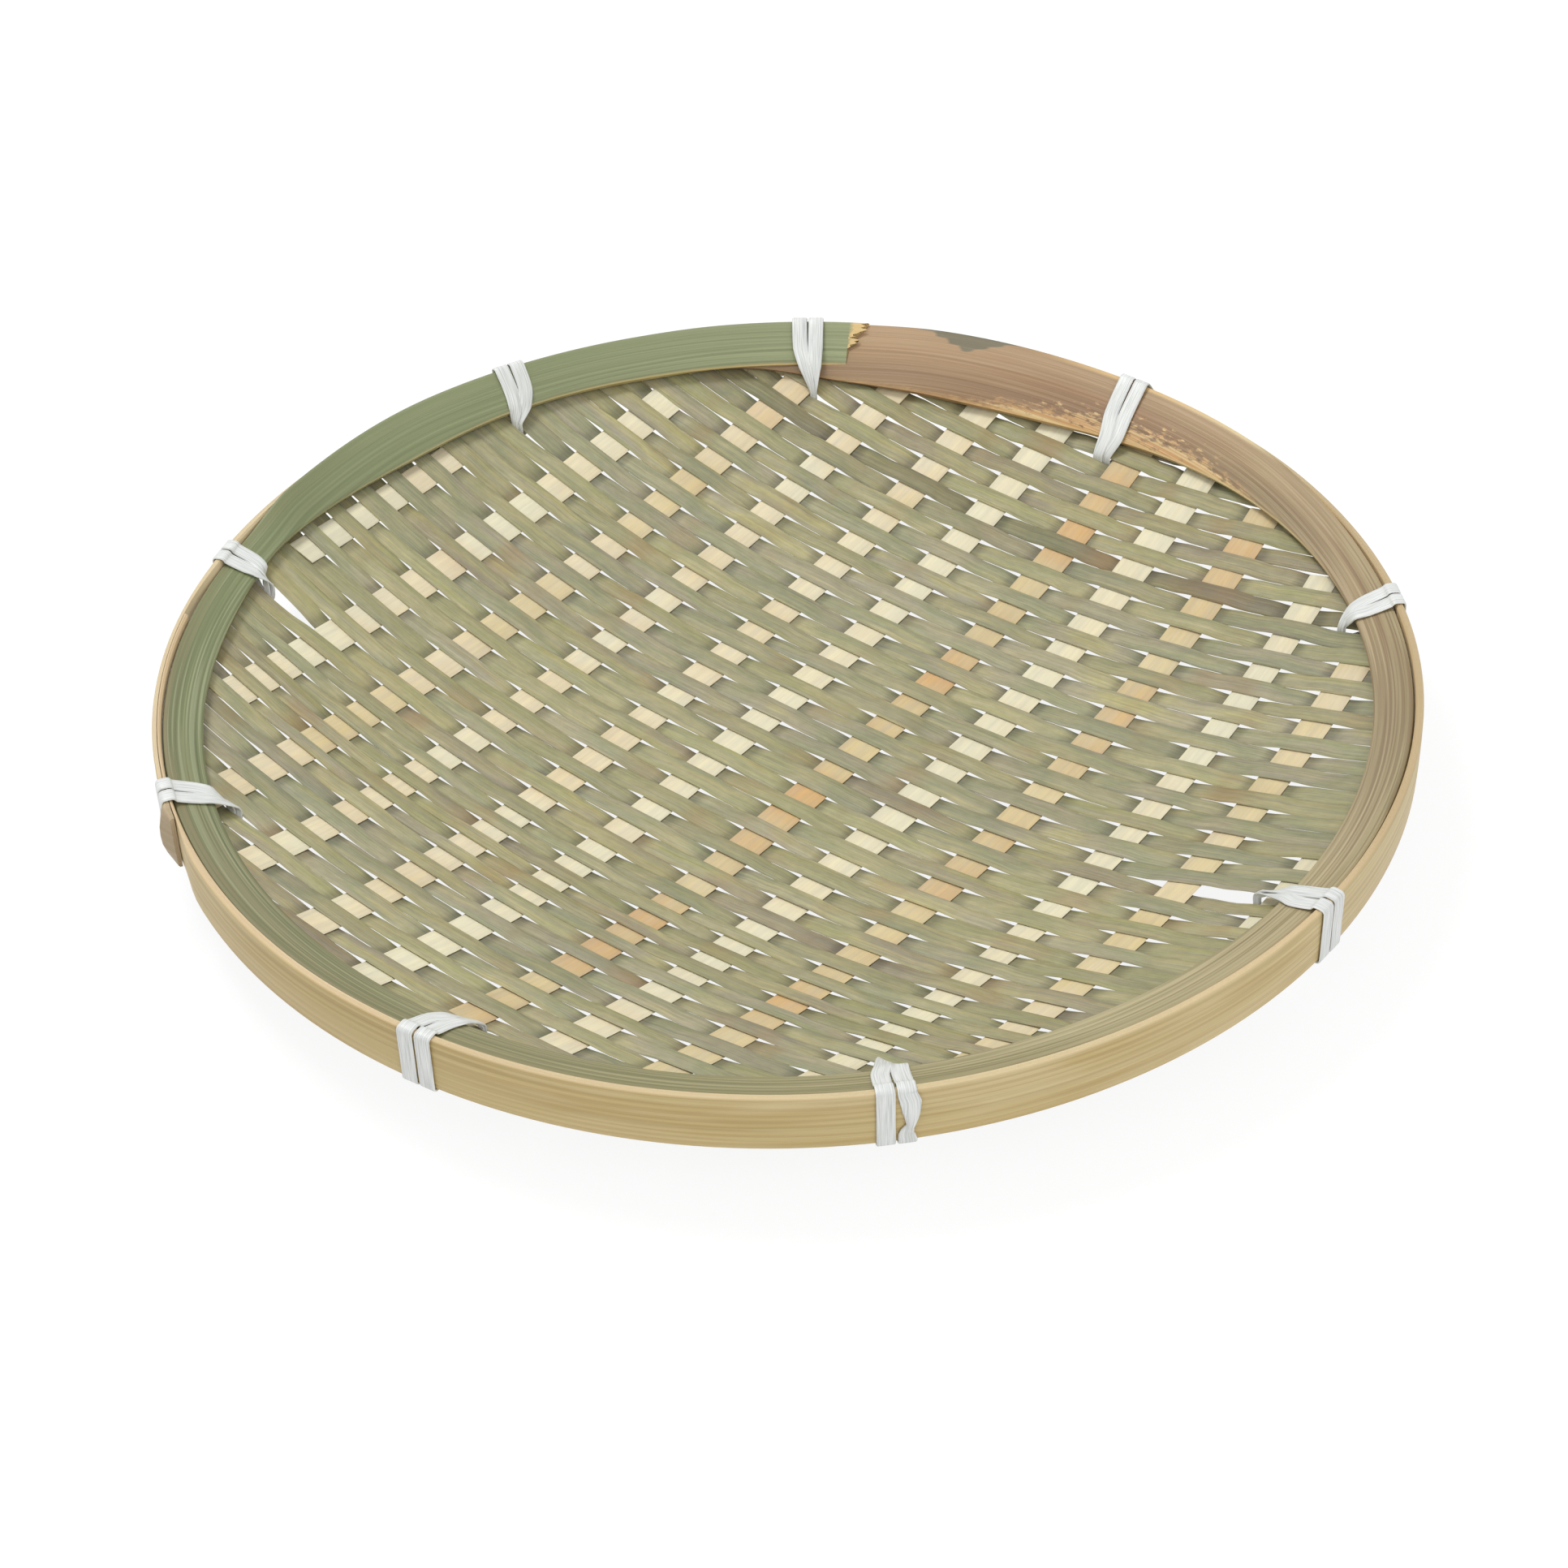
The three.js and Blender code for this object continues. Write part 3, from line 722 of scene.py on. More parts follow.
def outerHoopFaces(degrees):
    # radius inside and outside, how far the under and the over ply are reached, and the flap's lump
    lapEnd = outerHoop["lapFrom"] + outerHoop["lapSpan"]
    under = 1 - smoothStep(lapEnd - 360, lapEnd - 360 + outerHoop["underTaper"], degrees)
    over = smoothStep(outerHoop["lapFrom"] - outerHoop["overTaper"], outerHoop["lapFrom"], degrees)
    flap = clamp((degrees - lapEnd + outerHoop["flapSpan"]) / outerHoop["flapSpan"])
    lump = plateau(outerHoop["lumpRise"], outerHoop["lumpFall"], flap)
    inside = rim["radius"] - outerHoop["thickness"] + over * (outerHoop["ply"] + outerHoop["seenGap"])
    outside = rim["radius"] - under * (outerHoop["thickness"] - outerHoop["ply"])
    outside += over * (2 * outerHoop["ply"] + rim["seatGap"] - outerHoop["thickness"])
    return inside + flap * outerHoop["flapLift"], outside + lump * outerHoop["flapSwell"], under, over, lump


def outerFaceAt(degrees):
    lapEnd = outerHoop["lapFrom"] + outerHoop["lapSpan"]
    turned = degrees + 360 if degrees < lapEnd - 360 + outerHoop["underTaper"] else degrees
    return max(outerHoopFaces(turned)[1], rim["radius"])


def matHalfThickness():
    return (warps["thickness"] + wefts["thickness"]) / 2 + rim["seatGap"] + wefts["thickness"] / 2


def rideAt(degrees):
    # at the back the strip's upper edge climbs past the outer hoop's top, then lies over it
    ride = innerHoop["ride"]
    turned = unwound(degrees)
    climbing = plateau(ride["climbFrom"], ride["climbTo"], turned)
    covering = plateau(ride["coverFrom"], ride["coverTo"], turned)
    return smoothStep(0, ride["climbed"], climbing), ride["over"] * covering


def innerHoopLine(degrees):
    # lower and upper end of the strip's underside, its outward direction, lift and thickness
    narrowEnd = innerHoop["lapFrom"] - 360
    start = innerHoop["lapFrom"] - innerHoop["lapSpan"]
    over = 1 - smoothStep(narrowEnd, narrowEnd + innerHoop["taper"], degrees)
    under = smoothStep(start - innerHoop["taper"], start, degrees)
    thickness = mixValue(innerHoop["thickness"], innerHoop["ply"], max(over, under))
    edge = mat["hollowRadius"] - bump(innerHoop["wideBack"], degrees) - bump(innerHoop["wideFront"], degrees)
    edge -= sum(bump(shape, unwound(degrees)) for shape in innerHoop["shaped"])
    edge += innerHoop["tuck"] * smoothStep(*innerHoop["tuckSpan"], degrees)
    seat = matHalfThickness() + rim["seatGap"]
    low = Vector((edge, dish(edge) + seat))
    high = Vector((innerHoop["seenOutside"], dish(rim["innerOutside"]) + seat))
    climb, ridden = rideAt(degrees)
    high.x += ridden
    high.y += climb * (outerHoop["height"] + innerHoop["ride"]["above"] - high.y)
    run = (high - low).normalized()
    return low, high, Vector((-run.y, run.x)), over * (innerHoop["ply"] + rim["seatGap"]), thickness


def innerTopAt(degrees):
    start = innerHoop["lapFrom"] - innerHoop["lapSpan"]
    low, high, out, lift, thickness = innerHoopLine(degrees - 360 if degrees > start else degrees)
    wideLow, _, wideOut, wideLift, wideThickness = innerHoopLine(min(degrees, innerHoop["lapFrom"]))
    top = low + out * (lift + thickness)
    wideTop = wideLow + wideOut * (wideLift + wideThickness)
    return high + out * (lift + thickness), Vector((min(top.x, wideTop.x), top.y))


def asideOf(passing):
    return ties["aside"] if 2 * passing["spread"] < passing["width"] else 0.0


def findHole(passing):
    # nearest slot between two wefts where both windings pass side by side and clear of the warps
    angle = math.radians(passing["angle"] - mat["turn"])
    alongRim = abs(math.cos(angle))
    half = passing["spread"] + passing["width"] / 2
    bunchReach = abs(math.sin(angle)) * half + alongRim * (ties["seenThickness"] / 2 + asideOf(passing))
    radius = innerTopAt(passing["angle"])[1].x - ties["edgeRoom"] - bunchReach
    wanted = Matrix.Rotation(angle, 2) @ Vector((radius, passing["wish"]))

    def isFree(i, x, y):
        room = half + ties["holeRoom"]
        near = [k for k, met in enumerate(metWefts) if met[0] - 1 <= i <= met[-1]]
        away = [abs(warpLine(k, x) + warps["seenShifts"][k] - y) - warps["seenWidths"][k] / 2 for k in near]
        return all(gap > room for gap in away)

    best = {"away": math.inf}
    steps = round(2 * ties["searchReach"] / ties["searchStep"])
    for i in range(len(weftPlaces) - 1):
        for step in range(steps + 1):
            y = wanted.y - ties["searchReach"] + step * ties["searchStep"]
            slot = (weftLine(i, y) + weftWidths[i] / 2 + weftLine(i + 1, y) - weftWidths[i + 1] / 2) / 2
            away = math.hypot(slot - wanted.x, y - wanted.y)
            if away < best["away"] and math.hypot(slot, y) <= radius + 0.05 and isFree(i, slot, y):
                best = {"weft": i, "x": slot, "at": y, "away": away}
    widened = ties["seenThickness"] / 2 + asideOf(passing)
    best["reach"] = ties["pushReach"] * passing["gape"] ** 0.5
    best["extra"] = passing["gape"] * widened / math.exp(-((half / best["reach"]) ** 2))
    return best


metWefts = [[i for i in range(wefts["count"]) if crosses(i, k)] for k in range(warps["count"])]
strapHoles.extend([findHole(passing) for passing in tiePasses])
print("layout: holes", [(hole["weft"], round(hole["at"], 1), round(hole["away"], 1)) for hole in strapHoles])


# Hoops: their meshes

def makeOuterHoop():
    bm = bmesh.new()
    first = outerHoop["lapFrom"] - 360
    last = outerHoop["lapFrom"] + outerHoop["lapSpan"]
    flapFrom = last - outerHoop["flapSpan"]
    stations = round((last - first) / outerHoop["step"]) + 1
    profile = [(0, share) for share in outerHoop["insideShares"]]
    profile += [(1, share) for share in outerHoop["outsideShares"]]

    def placeOf(station, corner):
        degrees = first + (last - first) * station / (stations - 1)
        inside, outside, under, over, lump = outerHoopFaces(degrees)
        side, share = profile[corner]
        soft = outerHoop["softEdge"] * (share in (0.0, 1.0))
        crown = outerHoop["crown"] * (1 - (2 * share - 1) ** 2)
        pillow = lump * outerHoop["flapSwell"] * abs(2 * share - 1) ** 2.5
        if side:
            radius = outside - soft * (1 - under) + crown - outerHoop["crown"] - 0.8 * pillow
        else:
            radius = inside + soft * (1 - over)
        wobble = outerHoop["wobble"] * wave(degrees, 2, 70) * share
        return onRim(radius, degrees, outerHoop["height"] * share + wobble)

    def marksOf(station, corner):
        degrees = first + (last - first) * station / (stations - 1)
        side, share = profile[corner]
        edgeMark = 1.0 if share == 1.0 or side == 0 else 0.0
        return {
            "along": math.radians(degrees) * rim["radius"],
            "across": outerHoop["height"] * share + 40 * (1 - side),
            "turn": station / (stations - 1),
            "rise": share,
            "edge": edgeMark * (1 - 0.7 * smoothStep(flapFrom, flapFrom + 2, degrees)),
            "scrap": outerHoop["scrapShare"] * smoothStep(flapFrom - 0.5, flapFrom + 1.5, degrees),
            "seed": 0.3,
            "shade": 1.0 + 0.05 * smoothStep(0.35, 0.0, share),
        }

    rollStrip(bm, stations, len(profile), placeOf, marksOf)
    material = makeHoopMaterial("outerHoopSkin", outerHoop)
    finishPiece("outer_hoop_band", bm, material, "outer_hoop", 30)


def makeInnerHoop():
    bm = bmesh.new()
    first = innerHoop["lapFrom"]
    last = first - 360 - innerHoop["lapSpan"]
    torn = innerHoop["torn"]
    scrap = innerHoop["scrapPatch"]
    plain = round((first - last - 1) / innerHoop["step"]) + 1
    places = [first + (last + 1 - first) * n / (plain - 1) for n in range(plain)]
    places += [last + ahead for ahead, _ in torn["rows"]]
    across = innerHoop["across"]
    corners = [(share / across, 1) for share in range(across + 1)] + [(share, 0) for share in (1.0, 0.5, 0.0)]
    jagDice = random.Random(torn["seed"])
    jags = [jagDice.uniform(-1, 1) * torn["jag"] + (n % 2 - 0.5) * torn["jag"] for n in range(len(corners))]

    def placeOf(station, corner):
        degrees = places[station]
        share, top = corners[corner]
        if station >= plain:
            slant = mixValue(*torn["slant"], share)
            degrees += torn["rows"][station - plain][1] * (slant + (jags[corner] if top else 0.0))
        low, high, out, lift, thickness = innerHoopLine(degrees)
        rounded = innerHoop["softEdge"] * (share in (0.0, 1.0)) if top else 0.0
        crown = innerHoop["crown"] * math.sin(math.pi * share) if top else 0.0
        point = low.lerp(high, share) + out * (lift + top * thickness - rounded + crown)
        return onRim(point.x, degrees, point.y)

    def marksOf(station, corner):
        degrees = places[station]
        low, high, _, _, _ = innerHoopLine(degrees)
        share, top = corners[corner]
        cut = float(share == 0.0 or not top or station >= plain)
        # painted highlight along the top edge, joined into the edge mark with the real cut edges
        paintedHighlight = plateau(*innerHoop["highlightSpan"], degrees) * (share > innerHoop["highlightFrom"])
        brown = plateau(*innerHoop["brownSpan"], degrees)
        # painted shade and highlight across the brown band, as its hollow face would be lit
        cupLightAndShade = sum(bump(shape, share) for shape in innerHoop["cupLightAndShade"])
        # painted shadow where the lap's over ply lies on the strip
        covered = smoothStep(*innerHoop["coveredSpan"], degrees)
        scrapDepth = scrap["depth"] * clamp(1 - abs(degrees - scrap["at"]) / scrap["reach"])
        return {
            "along": math.radians(degrees) * rim["radius"],
            "across": (high - low).length * (share - 1) + 40 * (1 - top),
            "turn": (first - degrees) / (first - last),
            "rise": share if top else 1.0,
            "edge": max(cut, innerHoop["highlightShare"] * paintedHighlight),
            "scrap": clamp((share - 1 + scrapDepth) / scrap["blur"] + 0.5) if top else 0.0,
            "seed": 0.7,
            "shade": (1.0 - innerHoop["cupShade"] * brown * cupLightAndShade) * (1 - innerHoop["coveredPaintedShadow"] * covered),
        }

    rollStrip(bm, len(places), len(corners), placeOf, marksOf)
    material = makeHoopMaterial("innerHoopSkin", innerHoop)
    finishPiece("inner_hoop_band", bm, material, "inner_hoop", 40)


print("hoops")
makeOuterHoop()
makeInnerHoop()


# Wefts and warps

weftFinish = {
    "tones": [
        (0.0, "#8C8066"), (0.14, "#9C9275"), (0.28, "#A69E75"), (0.4, "#9C9A71"), (0.52, "#AAA27B"),
        (0.64, "#959573"), (0.76, "#A29A7F"), (0.88, "#ADA67B"), (1.0, "#988E68"),
    ],
    "saturation": (0.86, 1.12),
    "pace": 0.035,
    "fineness": 3.0,
    "driftShare": 0.38,
    "fibreShade": (0.79, 1.12),
    "fleckShade": (0.9, 1.1),
    "stain": "#98774C",
    "stainShare": 0.5,
}

warpFinish = {
    "tones": [
        (0.0, "#E1DBBD"), (0.25, "#DFD2B0"), (0.42, "#DBCBA7"), (0.6, "#D4C397"), (0.76, "#CDB88D"),
        (1.0, "#CFAA78"),
    ],
    "fineness": 1.4,
    "driftShare": 0.15,
    "fibreShade": (0.92, 1.03),
    "fleckShade": (0.97, 1.03),
    "saturation": (0.92, 1.06),
    "pace": 0.03,
    "stain": "#C99A66",
    "stainShare": 0.25,
}

# how far each warp's tone lies towards orange, and how much it swings along its length
warpMoods = [
    (0.0, 0.1), (0.05, 0.15), (0.4, 0.25), (0.15, 0.2), (0.2, 0.25), (0.0, 0.05),
    (0.72, 0.25), (0.0, 0.05), (0.66, 0.2), (0.0, 0.1), (0.45, 0.2), (0.0, 0.1),
]


def weftLifts(i):
    return [
        (
            crossing(i, k) + warps["seenShifts"][k],
            wefts["lift"] if goesOver(i, k) else -wefts["lift"],
            warps["seenWidths"][k] / 2 + wefts["flatMargin"],
        )
        for k in range(warps["count"] - 1, -1, -1)
        if crosses(i, k)
    ]


def liftAt(knots, y):
    # flat over each warp, with an eased rise or fall between neighbours
    before = [knot for knot in knots if knot[0] <= y]
    after = [knot for knot in knots if knot[0] > y]
    if before and after:
        (a, liftA, flatA), (b, liftB, flatB) = before[-1], after[0]
        edgeA, edgeB = a + flatA, b - flatB
        share = clamp((y - edgeA) / (edgeB - edgeA))
        leaving = 1 - smoothStep(0, wefts["bend"], share)
        return liftA * leaving + liftB * smoothStep(1 - wefts["bend"], 1, share)
    if not before and not after:
        return 0.0
    place, lift, flat = (before or after[:1])[-1]
    return lift * (1 - smoothStep(flat, flat + 6, abs(y - place)))


def addSplint(bm, length, lineOf, thickness, stations, marksAt):
    # eight corners: two rounded edges, a slightly crowned top and a flat back
    corners = [(-1, 0), (-0.9, 1), (0, 1.2), (0.9, 1), (1, 0), (0.9, -1), (0, -1), (-0.9, -1)]

    def placeOf(station, corner):
        middle, side, up, width = lineOf(station / (stations - 1))
        across, height = corners[corner]
        return middle + side * (across * width / 2) + up * (height * thickness / 2)

    def marksOf(station, corner):
        share = station / (stations - 1)
        width = lineOf(share)[3]
        return {**marksAt(share), "along": share * length, "across": corners[corner][0] * width / 2}

    rollStrip(bm, stations, len(corners), placeOf, marksOf)


def seenEdge(i, y, side):
    # a weft fills its share of the room up to its neighbour, but for the slot where a strap passes
    gap = i if side > 0 else i - 1
    if gap < 0 or gap >= len(pitches) or gap in strapSlots:
        pitch = pitches[min(max(gap, 0), len(pitches) - 1)]
        return weftLine(i, y) + side * (pitch / 2)
    return (weftLine(gap, y) + weftLine(gap + 1, y)) / 2 + unevenness[gap]


def makeWeftPair(first, material, dice):
    bm = bmesh.new()
    for i in (first, first + 1):
        start, end = ownReach(i, -1), weftReach(i, 1)
        knots = weftLifts(i)
        seed = dice.random()
        tone = dice.uniform(*wefts["tones"])
        shade = dice.uniform(*wefts["shades"]) * wefts["darkOnes"].get(i, 1.0)

        def lineOf(share):
            y = mixValue(start, end, share)
            left, right = seenEdge(i, y, -1), seenEdge(i, y, 1)
            x = (left + right) / 2
            tilt = wefts["tilt"] * wave(y, seed * 23, 60)
            ahead = weftLine(i, y + 0.5) - weftLine(i, y - 0.5)
            rise = (dish(math.hypot(x + 1, y)) - dish(math.hypot(x - 1, y))) / 2
            side = Vector((1, -ahead, rise + tilt)).normalized()
            middle = Vector((x, y, dish(math.hypot(x, y)) + liftAt(knots, y)))
            return middle, side, Vector((-side.z, 0, side.x)).normalized(), right - left

        def marksAt(share):
            # painted shade: the weft is darkened where it dives under a warp, standing in for the shadow
            # there
            sunk = smoothStep(0.3, 1.0, -liftAt(knots, mixValue(start, end, share)) / wefts["lift"])
            return {"seed": seed, "tone": tone, "shade": shade * (1.01 - wefts["sunkPaintedShade"] * sunk)}

        addSplint(bm, end - start, lineOf, wefts["seenThickness"], wefts["stations"], marksAt)
    number = first // 2 + 1
    name, node = f"weft_splints_{number:02d}", f"weft_pair_{number:02d}"
    finishPiece(name, bm, material, node, 50, mat["turn"])


def makeWarp(k, material, dice):
    bm = bmesh.new()
    met = [i for i in range(len(weftPlaces)) if crosses(i, k)]
    start = weftLine(met[0], crossing(met[0], k)) - weftWidths[met[0]] / 2
    end = weftLine(met[-1], crossing(met[-1], k)) + weftWidths[met[-1]] / 2
    seed = dice.random()
    shade = dice.uniform(*warps["shades"])
    tone, swing = warpMoods[k]

    def lineOf(share):
        x = mixValue(start, end, share)
        y = warpLine(k, x) + warps["seenShifts"][k]
        slope = (warpLine(k, x + 1) - warpLine(k, x - 1)) / 2
        side = Vector((-slope, 1, (dish(math.hypot(x, y + 1)) - dish(math.hypot(x, y - 1))) / 2)).normalized()
        width = warps["seenWidths"][k] + warps["waver"] * wave(share * 200, seed * 5, 90)
        return Vector((x, y, dish(math.hypot(x, y)))), side, Vector((0, -side.z, side.y)).normalized(), width

    def marksAt(share):
        x = mixValue(start, end, share)
        return {"seed": seed, "tone": tone + swing * wave(x, seed * 31, 55), "shade": shade}

    addSplint(bm, end - start, lineOf, warps["seenThickness"], warps["stations"], marksAt)
    finishPiece(f"warp_splint_{k + 1:02d}", bm, material, f"warp_{k + 1:02d}", 50, mat["turn"])


print("weave")
dice = random.Random(wefts["seed"])
strapSlots = {hole["weft"] for hole in strapHoles}
unevenness = [dice.uniform(-wefts["uneven"], wefts["uneven"]) for _ in pitches]
weftMaterial = makeSplintMaterial("greenSplint", weftFinish)
warpMaterial = makeSplintMaterial("creamSplint", warpFinish)
for first in range(0, len(weftPlaces), 2):
    makeWeftPair(first, weftMaterial, dice)
for k in range(warps["count"]):
    makeWarp(k, warpMaterial, dice)


# Ties

def strapStations(number, passing, hole):
    # x outward, y round the rim, z up, in the tie's own frame
    turn = -math.radians(passing["angle"] - mat["turn"])
    place = Matrix.Rotation(turn, 2) @ Vector((hole["x"], hole["at"]))
    alongSlot = Matrix.Rotation(turn, 2) @ Vector((0, 1))
    if alongSlot.y < 0:
        alongSlot.negate()
    turning = -1 if alongSlot.x < 0 else 1
    spread, bunchWidth, aside, lean = passing["spread"], passing["width"], asideOf(passing), passing["lean"]
    bunch = (bunchWidth, ties["seenThickness"], alongSlot)
    half = ties["seenThickness"] / 2
    stand = ties["stand"] + half
    insideFace = rim["radius"] - outerHoop["thickness"]
    outside = outerFaceAt(passing["angle"]) + stand
    top = outerHoop["height"] + stand + 0.05
    high, low = innerTopAt(passing["angle"])
    fall = (high - low).normalized()
    away = Vector((-fall.y, fall.x)) * (stand + 0.25)
    upper, lower = high + away, low + away
    middle = upper.lerp(lower, 0.6)
    matHeight = dish(place.length)
    below = matHeight - matHalfThickness() - rim["seatGap"] - half
    stubEnd = insideFace - rim["seatGap"] - 0.15
    stubStart = stubEnd - ties["stubLength"]
    startStub, endStub = ties["startStub"], ties["endStub"]
    stations = []

    def add(x, y, z, width=ties["seenWidth"], thickness=ties["seenThickness"], across=(0, 1)):
        stations.append((Vector((x, y, z)), width, thickness, Vector((across[0], across[1], 0))))

    first, second = -turning * ties["pitch"] / 2, turning * ties["pitch"] / 2
    # the hidden start of the strap, tucked in under the mat and bent back to the rim
    add(stubEnd, first, startStub["height"], startStub["width"])
    add(stubStart, first, startStub["height"], startStub["width"])
    add(stubStart - 0.9, first, 2.7, startStub["width"])
    add(stubStart + 0.1, first, 1.5, startStub["width"])
    add(insideFace - 0.9, first, -0.1, 3)
    for count, side in enumerate((first, second)):
        add((insideFace + rim["radius"]) / 2, side, -stand)
        add(outside - 0.35, side, -stand + 0.1)
        add(outside, side, 0.5)
        if number == ties["pinched"] and side > 0:
            # this winding was pulled through with a pinch in it
            add(outside + 0.1, side - 0.2, outerHoop["height"] * 0.2, 3.0)
            add(outside + 0.55, side + 0.35, outerHoop["height"] * 0.36, 1.5, 0.8, (0.75, 0.65))
            add(outside + 0.25, side + 0.6, outerHoop["height"] * 0.58, 3.1, 0.5, (0.2, 0.98))
            add(outside + 0.05, side + 0.55, outerHoop["height"] * 0.8, 3.9)
        else:
            add(outside, side + 0.5 * lean, outerHoop["height"] / 2)
        add(outside, side + lean, outerHoop["height"] - 0.4)
        add(outside - 0.4, side + lean, top - 0.15)
        if high.y < outerHoop["height"]:
            add(insideFace + 0.1, side + lean, top)
            add(insideFace - 0.5, side + lean, top - 0.2)
        else:
            add(high.x + 1.1, side + lean, high.y - 0.15)
            add(high.x + 0.5, side + lean, high.y + 0.45)
        add(upper.x - 0.3, side + 0.95 * lean, upper.y + 0.05)
        sign = turning if count else -turning
        x = place.x + sign * (alongSlot.x * spread - alongSlot.y * aside)
        y = place.y + sign * (alongSlot.y * spread + alongSlot.x * aside)
        add(middle.x, mixValue(side + 0.6 * lean, y, 0.12), middle.y)
        add(lower.x + 0.2, mixValue(side, y, 0.5), lower.y, mixValue(bunchWidth, ties["seenWidth"], 0.8))
        add(x, y, matHeight + matHalfThickness() + 0.1, *bunch)
        add(x, y, matHeight - matHalfThickness() - 0.2, *bunch)
        if not count:
            add(x + 0.5, y + 0.1 * turning, below - 1.3, 1.2, 0.6, alongSlot)
            add(place.x + 3.5, 0, below - 2.3, 1.5)
            add(place.x + 7, second * 0.8, 0.6, 2.4)
            add(insideFace - 0.9, second, -0.1, 3)
    last = stations[-1][0]
    add(last.x + 1.1, last.y + 0.35 * turning, below - 0.2, 1.2, 0.6)
    add(stubStart - 0.6, second * 0.9, endStub["height"], 2)
    add(stubStart, second, endStub["height"], endStub["width"])
    add(stubEnd, second, endStub["height"], endStub["width"])
    return stations


def easedRun(stations, steps):
    # the strap's stations with eased ones between, so that it bends instead of folding
    run = []
    last = len(stations) - 1
    for i in range(last):
        before, start, end, after = (stations[int(clamp(i + shift, 0, last))] for shift in (-1, 0, 1, 2))
        chord = (end[0] - start[0]).length
        slopes = []
        for a, b, c in ((before, start, end), (start, end, after)):
            span = (b[0] - a[0]).length + (c[0] - b[0]).length
            slopes.append((c[0] - a[0]) * (ties["tension"] * chord / max(span, 1e-6)))
        for step in range(steps):
            t = step / steps
            h = (2 * t**3 - 3 * t**2 + 1, t**3 - 2 * t**2 + t, 3 * t**2 - 2 * t**3, t**3 - t**2)
            point = start[0] * h[0] + slopes[0] * h[1] + end[0] * h[2] + slopes[1] * h[3]
            width, thickness = mixValue(start[1], end[1], t), mixValue(start[2], end[2], t)
            run.append((point, width, thickness, start[3].lerp(end[3], t)))
    run.append(stations[-1])
    return run


def makeTie(number, passing, hole, material):
    run = easedRun(strapStations(number, passing, hole), ties["stepsPerStation"])
    corners = [
        (1, 0), (0.94, 0.7), (0.8, 1), (0.4, 0.9), (0, 0.82), (-0.4, 0.9), (-0.8, 1), (-0.94, 0.7),
        (-1, 0), (-0.94, -0.7), (-0.8, -1), (0, -1), (0.8, -1), (0.94, -0.7),
    ]
    lengths = [0.0]
    for a, b in zip(run, run[1:]):
        lengths.append(lengths[-1] + (b[0] - a[0]).length)

    def placeOf(station, corner):
        point, width, thickness, across = run[station]
        ahead = (run[min(station + 1, len(run) - 1)][0] - run[max(station - 1, 0)][0]).normalized()
        side = (across - ahead * across.dot(ahead)).normalized()
        up = ahead.cross(side)
        return point + side * (corners[corner][0] * width / 2) + up * (corners[corner][1] * thickness / 2)

    def marksOf(station, corner):
        return {"along": lengths[station], "across": corners[corner][0] * run[station][1] / 2}

    bm = bmesh.new()
    rollStrip(bm, len(run), len(corners), placeOf, marksOf)
    finishPiece(f"tie_strap_{number:02d}", bm, material, f"tie_{number:02d}", 60, passing["angle"])


print("ties")
strapMaterial = makeStrapMaterial()
for number, (passing, hole) in enumerate(zip(tiePasses, strapHoles), 1):
    makeTie(number, passing, hole, strapMaterial)


# Studio

def seenDirectly(tree):
    # 1 for the rays that show a thing, straight or mirrored or through it, and 0 for those that light it
    rays = nodeOf(tree, "ShaderNodeLightPath").outputs
    seen = maths(tree, "MAXIMUM", rays["Is Camera Ray"], rays["Is Glossy Ray"])
    return maths(tree, "MAXIMUM", seen, rays["Is Transmission Ray"])


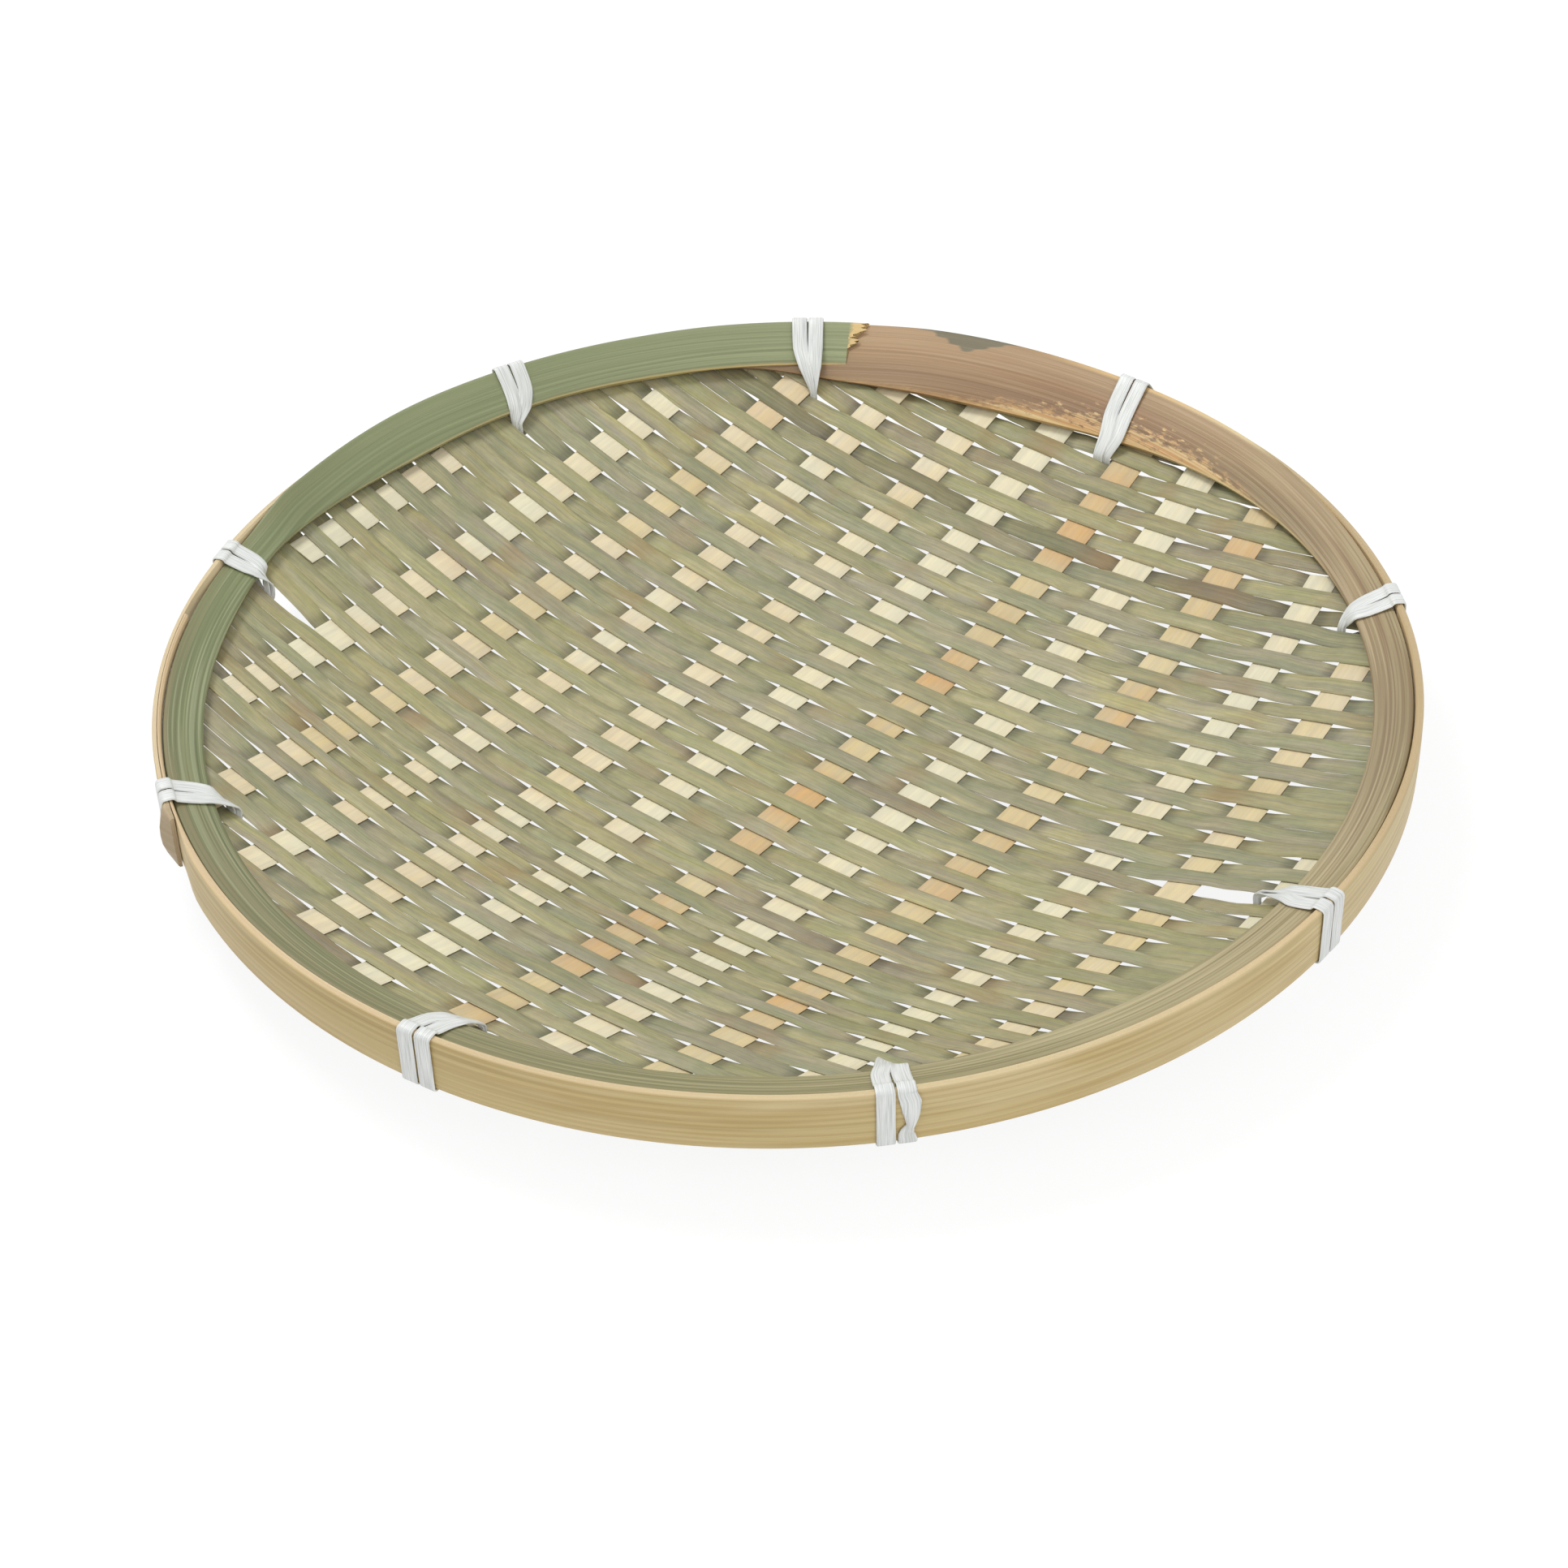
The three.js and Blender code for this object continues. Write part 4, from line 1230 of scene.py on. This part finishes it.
def makeFloor():
    bm = bmesh.new()
    bmesh.ops.create_grid(bm, x_segments=1, y_segments=1, size=studio["floorSize"] / 2)
    mesh = bpy.data.meshes.new("studio_floor")
    bm.to_mesh(mesh)
    bm.free()
    floor = added("studio_floor", mesh)
    material = bpy.data.materials.new("paperFloor")
    material.use_nodes = True
    tree = material.node_tree
    shader = tree.nodes["Principled BSDF"]
    tone = studio["floorTone"]
    shader.inputs["Base Color"].default_value = (tone, tone, tone, 1)
    shader.inputs["Roughness"].default_value = studio["floorRoughness"]
    glow = nodeOf(tree, "ShaderNodeEmission", {"Color": (1, 1, 1, 1), "Strength": studio["floorWhite"]})
    share = times(tree, seenDirectly(tree), studio["floorShare"])
    lit = nodeOf(tree, "ShaderNodeMixShader", {0: share, 1: shader.outputs[0], 2: glow.outputs[0]})
    clear = nodeOf(tree, "ShaderNodeBsdfTransparent")
    backside = nodeOf(tree, "ShaderNodeNewGeometry").outputs["Backfacing"]
    whole = nodeOf(tree, "ShaderNodeMixShader", {0: backside, 1: lit.outputs[0], 2: clear.outputs[0]})
    tree.links.new(whole.outputs[0], tree.nodes["Material Output"].inputs[0])
    mesh.materials.append(material)


def makeWorld():
    world = bpy.data.worlds.new("studioAir")
    bpy.context.scene.world = world
    world.use_nodes = True
    tree = world.node_tree
    tree.nodes.clear()
    strength = mapped(tree, seenDirectly(tree), result=(studio["worldStrength"], 1.0))
    air = nodeOf(tree, "ShaderNodeBackground", {"Color": (1, 1, 1, 1), "Strength": strength})
    output = nodeOf(tree, "ShaderNodeOutputWorld")
    tree.links.new(air.outputs[0], output.inputs[0])


def makeLamp(name, place, power, size):
    data = bpy.data.lights.new(name, "AREA")
    data.shape = "DISK"
    data.size = size
    data.energy = power
    lamp = added(name, data)
    lamp.location = place
    lamp.rotation_euler = (-Vector(place)).to_track_quat("-Z", "Y").to_euler()


def makeCamera():
    data = bpy.data.cameras.new("photoCamera")
    data.lens = camera["lens"]
    data.sensor_width = 36.0
    data.clip_start, data.clip_end = 0.01, 20.0
    seat = added("photoCamera", data)
    elevation, roll = math.radians(camera["elevation"]), math.radians(camera["roll"])
    back = Vector((0, -math.cos(elevation), math.sin(elevation)))
    right = Vector((1, 0, 0))
    up = back.cross(right)
    rightTurned = right * math.cos(roll) + up * math.sin(roll)
    upTurned = up * math.cos(roll) - right * math.sin(roll)
    place = (Vector(camera["target"]) + back * camera["distance"]) * 0.001
    axes = Matrix((rightTurned, upTurned, back)).transposed().to_4x4()
    seat.matrix_world = Matrix.Translation(place) @ axes
    bpy.context.scene.camera = seat


print("studio")
makeFloor()
makeWorld()
makeLamp("keyLamp", studio["keyPlace"], studio["keyPower"], studio["keySize"])
makeLamp("fillLamp", studio["fillPlace"], studio["fillPower"], studio["fillSize"])
makeCamera()
bpy.context.scene.view_settings.view_transform = "Standard"
